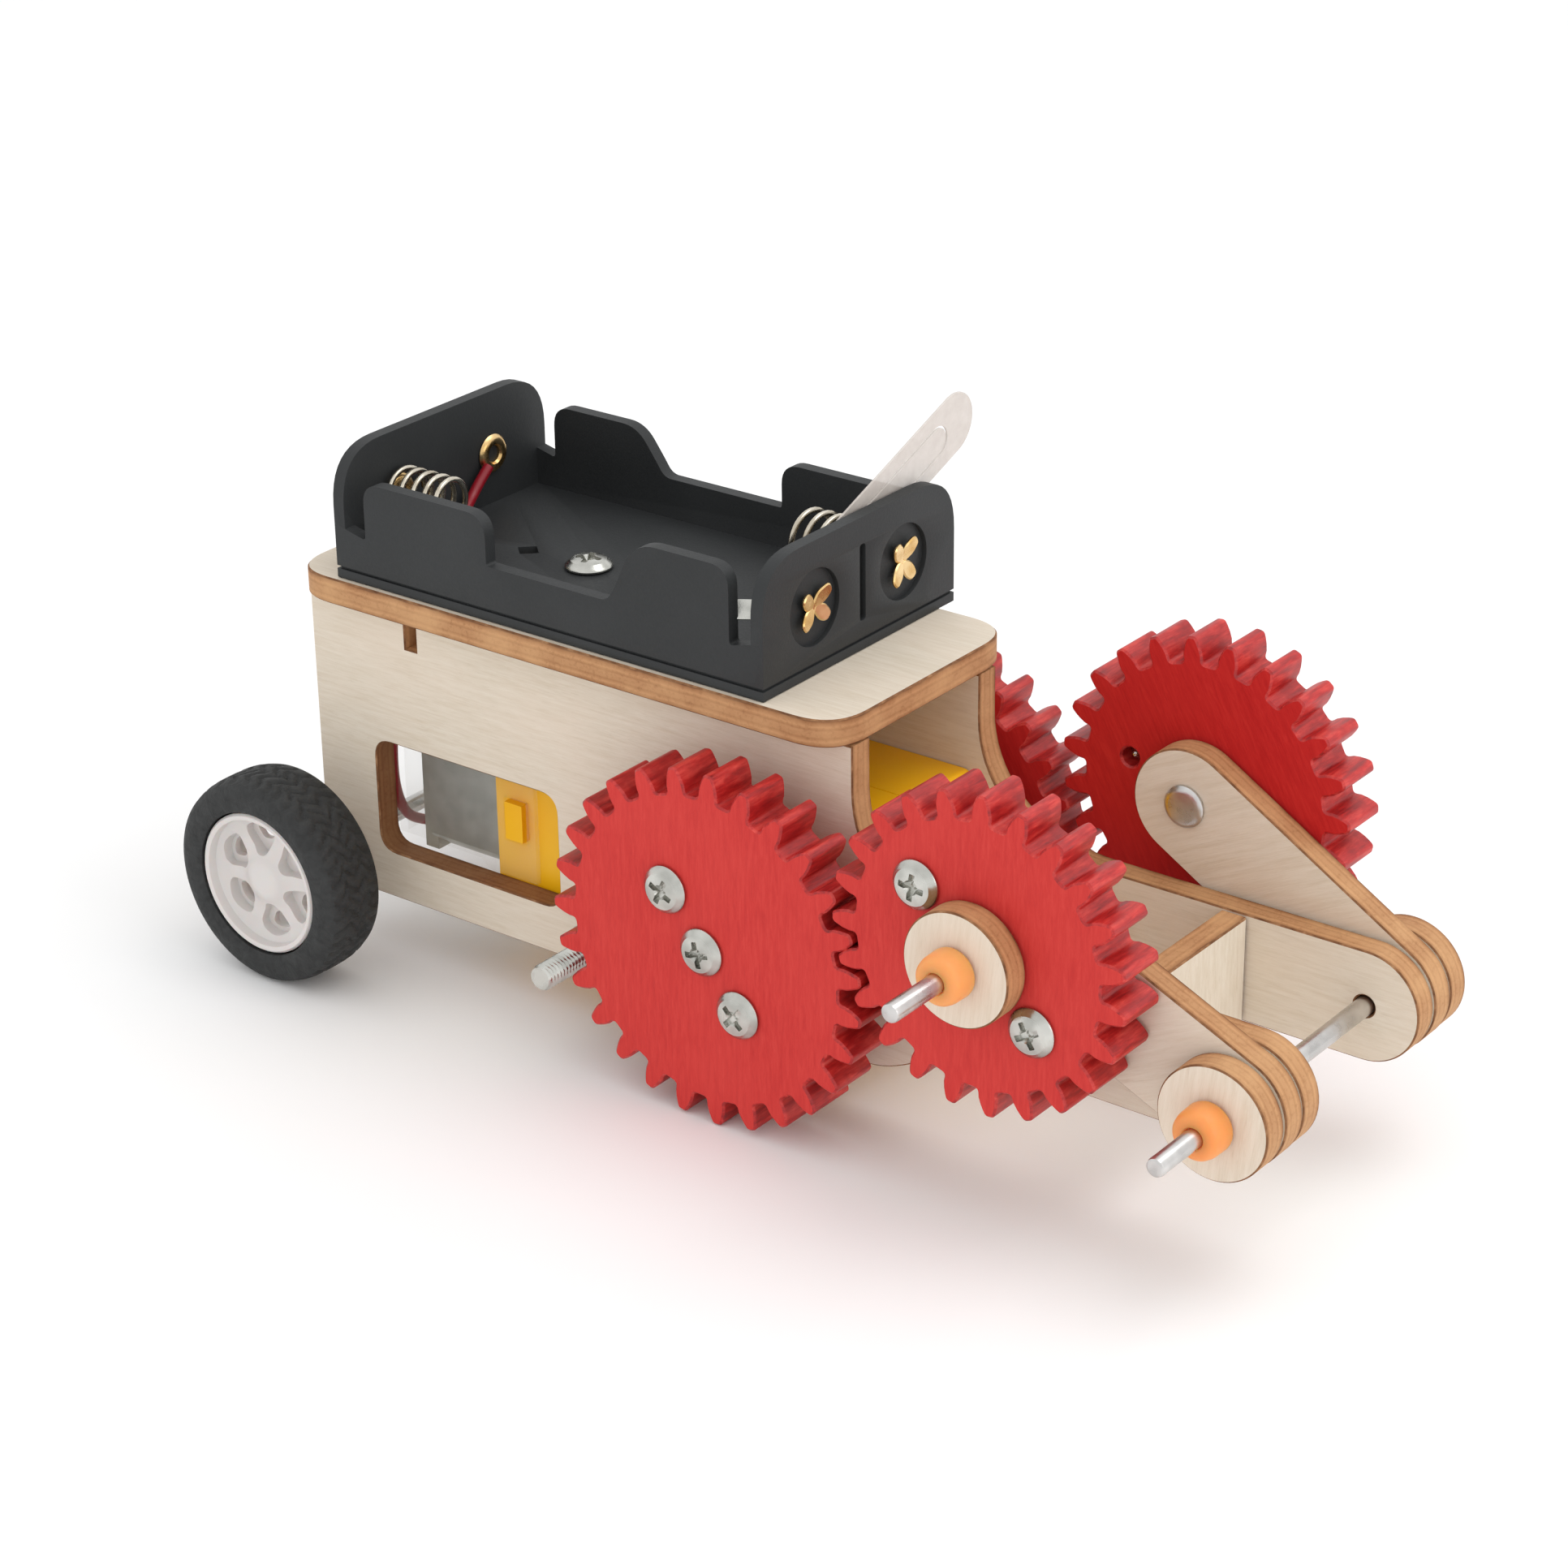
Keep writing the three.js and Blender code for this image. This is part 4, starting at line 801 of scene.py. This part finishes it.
# ---- Rear wheels ----
def tyre(name, side):
    """Round shoulders and staggered tread blocks, cut into a turned band."""
    node = f"rear_tyre_{name}"
    centre, r = REAR_AXLE, (high(node).x - low(node).x) / 2
    a, b = outwards(node, side)
    bore = 8.35
    blocks, segments, rows = 42, 252, 24
    tread_half = (b - a) / 2 - 1.1
    profile = [(bore, a + 0.25), (bore + 0.3, a), (r - 1.9, a), (r - 1.1, a + 0.15), (r - 0.45, a + 0.55)]
    middle_t = (a + b) / 2
    tread = [(r, middle_t + tread_half * (2 * k / rows - 1)) for k in range(rows + 1)]
    profile += tread + [(r - 0.45, b - 0.55), (r - 1.1, b - 0.15), (r - 1.9, b)]
    profile += [(bore + 0.3, b), (bore, b - 0.25)]
    vertices, faces = [], []
    for k, (radius, t) in enumerate(profile):
        on_tread = 5 <= k < 5 + len(tread)
        across = (t - middle_t) / tread_half
        for i in range(segments):
            angle = 2 * math.pi * i / segments
            reach = radius
            if on_tread:
                row = min(3, int((across + 1) * 2))
                sway = 0.35 * math.sin(5 * across + row) + 0.2 * math.sin(7 * angle + 3 * row)
                phase = (angle * blocks / (2 * math.pi) + 0.5 * (row % 2) + sway) % 1
                depth = max(0.0, math.sin(math.pi * min(1, phase / 0.45)))
                reach = radius - 0.25 * across**4 - 0.28 * depth
            vertices.append((centre.x + reach * math.cos(angle), side * t, centre.z + reach * math.sin(angle)))
    count = len(profile)
    for k in range(count):
        for i in range(segments):
            j = (i + 1) % segments
            n = (k + 1) % count
            faces.append((k * segments + i, k * segments + j, n * segments + j, n * segments + i))
    made = mesh_object(node + "_tread", vertices, faces)
    dress(made, [RUBBER], "rear_wheels", "tyre", node, sharp=50)


def rim(name, side):
    """A dished wheel with a stepped lip, six spokes and a hub, moulded in one."""
    node = f"rear_rim_{name}"
    inner, outer = outwards(node, side)
    centre = (REAR_AXLE.x, REAR_AXLE.z)
    r = (high(node).x - low(node).x) / 2
    lip, hub = r - 0.85, 2.6
    face, dish = outer - 0.9, outer - 2.1
    profile = [
        (0, outer - 0.75), (1.3, outer - 0.8), (hub - 0.3, outer - 0.95), (hub, face - 0.35),
        (hub + 1.4, dish + 0.35), (lip - 1.2, dish + 0.25), (lip, face - 0.2), (lip + 0.12, outer - 0.12),
        (r - 0.25, outer), (r, outer - 0.25), (r, inner + 6.9), (lip, inner + 6.9), (lip - 0.1, dish - 1.5),
        (hub, dish - 1.5), (hub, inner), (1.2, inner), (1.2, outer - 2.6), (0, outer - 2.6),
    ]
    made = turned(node + "_moulding", profile, centre, side, segments=96)
    cutters = []
    for k in range(6):
        angle = math.pi * (k + 0.5) / 3 + 0.12

        def at(distance, turn):
            way = angle + turn
            return (centre[0] + distance * math.cos(way), centre[1] + distance * math.sin(way))

        pocket = [(*at(2.9, -0.2), 0.5), (*at(6.3, -0.42), 1.2), (*at(7, 0), 2)]
        pocket += [(*at(6.3, 0.42), 1.2), (*at(2.9, 0.2), 0.5)]
        hole = [(*at(4.4, -0.16), 0.5), (*at(6.0, -0.26), 0.7), (*at(6.4, 0), 1.2)]
        hole += [(*at(6.0, 0.26), 0.7), (*at(4.4, 0.16), 0.5)]
        cutters.append(plate("pocket", [rounded(pocket)], side * (dish - 0.75), side * (outer + 1), "Y", 0.02))
        cutters.append(plate("opening", [rounded(hole)], side * (dish - 3), side * (outer + 1), "Y", 0.02))
    combine(made, cutters, "DIFFERENCE")
    soften(made, 0.22, 3, 38)
    dress(made, [WHITE], "rear_wheels", "white_plastic", node, sharp=45)


# ---- Battery holder ----
LEAD_HOLE = {"x": -47.4, "y": -0.4, "r": 1.7}
WIRE_HOLE = (-37.9, 0.0)
WALL = 1.5
CELL_HEIGHT = 7.3
LOW_WALL = 6.1
TAB_TOPS = {"right": (11.6, 13.3), "left": (11.2, 11.2)}
RECESS = {"r": 4.1, "depth": 0.6}
HOLDER_LOW = low("battery_holder")
HOLDER_HIGH = high("battery_holder")
CELL_Y = {name: middle(f"rivet_front_{name}").y for name in SIDES}
CELL_Z = HOLDER_LOW.z + CELL_HEIGHT


def side_wall_outline(steep_top, sloped_top, mirror):
    """A side wall: low in the middle, with a raised stretch at each end for the cells."""
    half = (HOLDER_HIGH.x - HOLDER_LOW.x) / 2
    centre, bottom = (HOLDER_HIGH.x + HOLDER_LOW.x) / 2, HOLDER_LOW.z
    low_top, sloped, steep = bottom + LOW_WALL, bottom + sloped_top, bottom + steep_top
    points = [(-half, bottom, 0), (half, bottom, 0), (half, low_top, 0.3), (24.5, low_top - 1, 0.5)]
    points += [(24.5, sloped, 2.4), (12.5, sloped, 3), (9.9, low_top + 1.6, 1.5), (8.8, low_top, 1.6)]
    points += [(-7.3, low_top, 0.4), (-7.3, steep, 4.4), (-24.3, steep, 2.4), (-24.3, low_top - 1, 0.5)]
    points += [(-half, low_top, 0.3)]
    turn = -1 if mirror else 1
    return rounded([(centre + turn * u, v, bend) for u, v, bend in points], 8)


def battery_holder():
    """The moulded tray: floor, side walls, taller ends, recesses for the rivets and a line round its foot."""
    node = "battery_holder"
    a, b = HOLDER_LOW, HOLDER_HIGH
    corner = 6.2
    floor_outline = box_outline(a.x + 0.2, b.x - 0.2, a.y + 0.2, b.y - 0.2)
    made = plate(node + "_moulding", [floor_outline], a.z, a.z + WALL, "Z", 0.01)
    right = plate("wall", [side_wall_outline(*TAB_TOPS["right"], False)], a.y, a.y + WALL, "Y", 0.01)
    left = plate("wall", [side_wall_outline(*TAB_TOPS["left"], True)], b.y - WALL, b.y, "Y", 0.01)
    end = rounded([(a.y, a.z, 0), (b.y, a.z, 0), (b.y, b.z, corner), (a.y, b.z, corner)], 10)
    ends = [plate("end", [end], a.x, a.x + WALL, "X", 0.01), plate("end", [end], b.x - WALL, b.x, "X", 0.01)]
    combine(made, [right, left, *ends], "UNION")
    around = box_outline(a.x - 2, b.x + 2, a.y - 2, b.y + 2)
    within = box_outline(a.x + 0.3, b.x - 0.3, a.y + 0.3, b.y - 0.3)
    groove = plate("groove", [around, within], a.z + 1.0, a.z + 1.35, "Z", 0.01)
    cutters = [groove]
    screw = middle("holder_screw")
    outlines = [circle((screw.x, screw.y), SCREW_HOLE, 20)]
    outlines.append(circle((LEAD_HOLE["x"], LEAD_HOLE["y"]), LEAD_HOLE["r"], 28))
    diamond = [(WIRE_HOLE[0] - 1.5, WIRE_HOLE[1], 0.1), (WIRE_HOLE[0], WIRE_HOLE[1] - 1.4, 0.1)]
    diamond += [(WIRE_HOLE[0] + 1.5, WIRE_HOLE[1], 0.1), (WIRE_HOLE[0], WIRE_HOLE[1] + 1.4, 0.1)]
    outlines.append(rounded(diamond))
    cutters += [plate("hole", [outline], a.z - 1, a.z + 3, "Z", 0.01) for outline in outlines]
    slot = box_outline(1.25, 2.25, a.z + 3.2, a.z + 11.5, 0.4)
    cutters.append(plate("slot", [slot], b.x - 0.7, b.x + 1, "X", 0.01))
    for y in CELL_Y.values():
        recess = circle((y, CELL_Z), RECESS["r"], 56)
        cutters.append(plate("recess", [recess], b.x - RECESS["depth"], b.x + 1, "X", 0.01))
        cutters.append(plate("recess", [recess], a.x - 1, a.x + RECESS["depth"], "X", 0.01))
    combine(made, cutters, "DIFFERENCE")
    soften(made, 0.22, 2, 50)
    dress(made, [BLACK], "body", "black_plastic", node, sharp=40)


def spring(node, start, end, y, turns):
    """A coil of nickel-plated wire, with a closed turn against the wall."""
    radius, wire = 2.95, 0.32
    points = []
    for k in range(int(turns * 32) + 1):
        t = k / (turns * 32)
        angle = 2 * math.pi * turns * t
        rise = max(0.0, (t - 0.08) / 0.92)
        x = start + (end - start) * rise
        points.append((x, y + radius * math.cos(angle), CELL_Z + radius * math.sin(angle)))
    dress(tube(node + "_coil", points, wire), [SPRING_STEEL], "body", "plated_steel", node)


def springs():
    rear, front = "contact_spring_rear", "contact_spring_front"
    spring(rear, low(rear).x + 0.36, high(rear).x - 0.36, CELL_Y["right"], 4.6)
    spring(front, high(front).x - 0.36, low(front).x + 0.36, CELL_Y["left"], 6.6)


def flat_contact():
    """A plate on the front wall, with a lug folded over by the right wall."""
    node = "flat_contact"
    thick = 0.28
    a, b = low(node), high(node)
    wall, near = HOLDER_HIGH.x - WALL - 0.05, HOLDER_LOW.y + WALL + 0.1
    sheet = plate("sheet", [box_outline(near + 0.8, b.y, a.z, b.z, 0.6)], wall - thick, wall, "X", 0.05)
    corners = [(-1.1, -1.1, 0.3), (1.1, -1.1, 0.1), (1.1, 1.1, 0.1), (-1.1, 1.1, 0.3)]
    lug = plate("lug", [rounded(corners)], 0, thick, "Z", 0.05)
    facing = Vector((0.35, -0.55, 0.76)).to_track_quat("Z", "Y").to_matrix().to_4x4()
    lug.data.transform(Matrix.Translation(Vector((wall - 2.4, near + 1.05, b.z - 3.9)) * MM) @ facing)
    made = merge(node + "_spring", [sheet, lug])
    dress(made, [STEEL], "body", "plated_steel", node)


def rivet(node, name, outward, twist):
    """A split tubular rivet: four petals spread in the recess outside, and a rolled hollow head inside."""
    y = CELL_Y[name]
    face = (HOLDER_HIGH.x if outward > 0 else HOLDER_LOW.x) - outward * RECESS["depth"]
    inner = (HOLDER_HIGH.x if outward > 0 else HOLDER_LOW.x) - outward * WALL
    parts = []
    for k in range(4):
        reach = 2.9 - 0.3 * (k % 2)
        corners = [(0.2, -0.4, 0.2), (1.5, -0.95, 0.9), (reach, -0.62, 0.5), (reach + 0.1, 0.5, 0.5)]
        corners += [(1.4, 0.98, 0.9), (0.2, 0.4, 0.2)]
        t = face + outward * 0.1
        petal = plate("petal", [rounded(corners)], t, t + outward * 0.4, "X", 0.14)
        lean = Matrix.Rotation(-outward * 0.2, 4, "Z")
        turn = Matrix.Rotation(math.pi * (k + 0.5) / 2 + twist * (1 if k % 2 else -0.6), 4, "X")
        shift = Matrix.Translation(Vector((t, 0, 0)) * MM)
        place = Matrix.Translation(Vector((0, y, CELL_Z)) * MM)
        petal.data.transform(place @ turn @ shift @ lean @ shift.inverted())
        parts.append(petal)
    profile = [(0.95, -0.6), (0.95, 0.3), (1.15, 0.58), (1.55, 0.66), (1.95, 0.5)]
    profile += [(2.2, 0.2), (2.15, 0.1), (1.2, 0.1), (1.2, -0.6)]
    ring = turned("ring", [(r, -outward * t) for r, t in profile], (0, 0), 1, "X", 40, closed=True)
    ring.data.transform(Matrix.Translation(Vector((inner, y, CELL_Z)) * MM))
    parts.append(ring)
    core = turned("core", [(0, -0.3), (0.6, -0.3), (0.6, 0.3), (0, 0.3)], (0, 0), 1, "X", 24)
    core.data.transform(Matrix.Translation(Vector((face + outward * 0.2, y, CELL_Z)) * MM))
    parts.append(core)
    made = merge(node + "_petals", parts)
    dress(made, [BRASS], "body", "brass", node, sharp=35)


def merge(name, parts):
    """One object that holds the meshes of all parts."""
    edit = bmesh.new()
    for part in parts:
        edit.from_mesh(part.data)
        bpy.data.objects.remove(part)
    mesh = bpy.data.meshes.new(name)
    edit.to_mesh(mesh)
    edit.free()
    made = bpy.data.objects.new(name, mesh)
    bpy.context.scene.collection.objects.link(made)
    return made


TAB = {"climb": math.radians(23), "lean": math.radians(86), "half": 3.5, "thick": 0.25, "length": 27}
TAB_START = Vector((3.17, -1.8, 54.5))


def film_strip():
    """The clear strip across the front wall, with a long U cut in it and a round end."""
    node = "battery_tab"
    half, length = TAB["half"], TAB["length"]
    outline = [(0, -half)] + arc((length - half, 0), half, -math.pi / 2, math.pi / 2, 28) + [(0, half)]
    start, end, inner, outer = 6.0, length - 6.4, 1.5, 1.72
    slit = [(start, -outer), (start, -inner)] + arc((end, 0), inner, -math.pi / 2, math.pi / 2, 20)
    slit += [(start, inner), (start, outer)] + arc((end, 0), outer, math.pi / 2, -math.pi / 2, 20)
    made = plate(node + "_film", [outline, slit], -TAB["thick"], 0, "Z", 0.05)
    up = Vector((math.cos(TAB["lean"]), 0, math.sin(TAB["lean"])))
    left = Vector((0, 1, 0))
    lengthwise = left * math.cos(TAB["climb"]) + up * math.sin(TAB["climb"])
    sideways = up * math.cos(TAB["climb"]) - left * math.sin(TAB["climb"])
    turn = Matrix((lengthwise, sideways, lengthwise.cross(sideways))).transposed().to_4x4()
    made.data.transform(Matrix.Translation(TAB_START * MM) @ turn)
    dress(made, [FILM], "tab", "clear_plastic", node)


# ---- Leads inside the body ----
RED_ROUTE = [
    (-49.4, 7.0, 51.6), (-49.3, 5.2, 50.2), (-49, 3.5, 49), (-48.1, 1.5, 48.3), (-46.9, 0.1, 47.1),
    (-46.7, -0.4, 44.5), (-46.9, -1, 41), (-49, -4, 36), (-51.6, -6.8, 30), (-52.3, -7.6, 24),
    (-52.4, -7.6, 18), (-52.5, -6, 13.8), (-52, -3.6, 12), (-50.6, -2, 11.8),
]
BLACK_ROUTE = [
    (-49.6, -6.1, 48.3), (-48.9, -3.6, 48.3), (-48.3, -1.4, 47.6), (-48.1, -0.5, 46.6), (-48.1, -0.4, 43.5),
    (-48.3, 0.6, 40), (-50, 4, 35), (-51.4, 5, 30.6), (-51.6, 3.6, 28.2), (-50.6, 2, 27.6),
]
LEAD_R = 0.6


# ---- Everything, by name ----
def build_body():
    for name, side in SIDES.items():
        side_panel(name, side)
    top_panel()
    front_brace()
    motor_bolt()
    battery_holder()
    springs()
    flat_contact()
    for i, name in enumerate(SIDES):
        rivet(f"rivet_front_{name}", name, 1, 0.16 - 0.3 * i)
        rivet(f"rivet_rear_{name}", name, -1, 0.1)
    red = tube("red_lead_wire", through(RED_ROUTE), LEAD_R)
    dress(red, [RED_WIRE], "body", "red_wire", "red_lead")
    black = tube("black_lead_wire", through(BLACK_ROUTE), LEAD_R)
    dress(black, [BLACK_WIRE], "body", "black_wire", "black_lead")
    film_strip()


def build_drive():
    for name, side in SIDES.items():
        centres = [middle(f"drive_screw_{place}_{name}") for place in ("rear", "middle", "front")]
        pilots = [(p.x, p.z) for p in (centres[0], centres[2])]
        disc(f"drive_hub_{name}", name, 2.85, "drive", FACE_UPRIGHT, pilots)
        red_gear(f"drive_gear_{name}", name, DRIVE_TEETH, "drive", centres, 0)


def build_front():
    for name, side in SIDES.items():
        link, wheel = f"link_{name}", f"front_wheel_{name}"
        swing_link(name, side)
        link_pin(name, side)
        centres = [middle(f"front_screw_{place}_{name}") for place in ("rear", "front")]
        red_gear(f"front_gear_{name}", name, FRONT_TEETH, wheel, centres, ROD_HOLE)
        disc(f"pin_spacer_{name}", name, ROD_HOLE, link, FACE_UPRIGHT)
        stopper(f"pin_stopper_{name}", link)
        disc(f"front_spacer_{name}", name, ROD_HOLE, "front_axle", FACE_UPRIGHT)
        stopper(f"front_stopper_{name}", "front_axle")
    rod_with_ends("front_axle", "front_axle")


def build_rear():
    rod_with_ends("rear_axle", "rear_wheels")
    for name, side in SIDES.items():
        tyre(name, side)
        rim(name, side)


CARRIED = {
    "gearbox_shell_right": YELLOW,
    "gearbox_shell_left": YELLOW,
    "motor_can": CAN_STEEL,
    "motor_strap": STRAP,
    "motor_pinion": STEEL,
    "crown_gear": WHITE,
    "idler_gear": WHITE,
    "output_shaft": WHITE,
    "motor_bolt_nut": STEEL,
}


def paint_carried():
    """CAD nodes that show as they are get their material."""
    for node, look in CARRIED.items():
        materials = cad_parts[node].data.materials
        materials.clear()
        materials.append(look)


build_body()
build_drive()
build_front()
build_rear()
paint_carried()
master = screw_master()
screws(master)
floor_screw(master)
bpy.data.objects.remove(master)


# ---- Floor, light and camera ----
def floor():
    half = 3000
    corners = [(-half, -half, 0), (half, -half, 0), (half, half, 0), (-half, half, 0)]
    made = mesh_object("floor", corners, [(0, 1, 2, 3)])
    look = Look("floor_pale", (0.95, 0.95, 0.95), 0.7, specular_ior_level=0.1)
    soft = look.noise((60, 60, 60), 2, 0.5)
    look.colour(look.ramp(soft, (0.2, (0.95, 0.95, 0.95)), (0.8, (0.97, 0.97, 0.97))))
    made.data.materials.append(look.material)
    made.location.z = -0.00002


def area_light(name, place, aim, size, power):
    light = bpy.data.lights.new(name, "AREA")
    light.shape = "DISK"
    light.size = size * MM
    light.energy = power
    made = bpy.data.objects.new(name, light)
    made.location = Vector(place) * MM
    made.rotation_mode = "QUATERNION"
    made.rotation_quaternion = (Vector(aim) - Vector(place)).to_track_quat("-Z", "Y")
    bpy.context.scene.collection.objects.link(made)


def studio():
    world = bpy.data.worlds.new("studio")
    world.use_nodes = True
    background = world.node_tree.nodes["Background"]
    background.inputs["Color"].default_value = (1, 1, 1, 1)
    background.inputs["Strength"].default_value = 1.02
    bpy.context.scene.world = world
    area_light("key", (190, 130, 480), (0, 0, 20), 300, 0.5)
    area_light("front", (420, -60, 160), (0, 0, 25), 260, 0.22)
    bpy.context.scene.view_settings.view_transform = "Standard"


def camera():
    """A long lens, to the front right and a little above."""
    azimuth, elevation, roll = math.radians(37.57), math.radians(24.96), math.radians(-0.756)
    level = math.cos(elevation)
    back = Vector((math.sin(azimuth) * level, -math.cos(azimuth) * level, math.sin(elevation)))
    lens = bpy.data.cameras.new("camera")
    lens.sensor_width = 36
    lens.lens = 87.63
    lens.clip_start = 0.01
    lens.clip_end = 20
    made = bpy.data.objects.new("camera", lens)
    made.location = Vector((217.10, -286.92, 196.67)) * MM
    made.rotation_mode = "QUATERNION"
    made.rotation_quaternion = (-back).to_track_quat("-Z", "Y") @ Quaternion((0, 0, 1), roll)
    bpy.context.scene.collection.objects.link(made)
    bpy.context.scene.camera = made


floor()
studio()
camera()
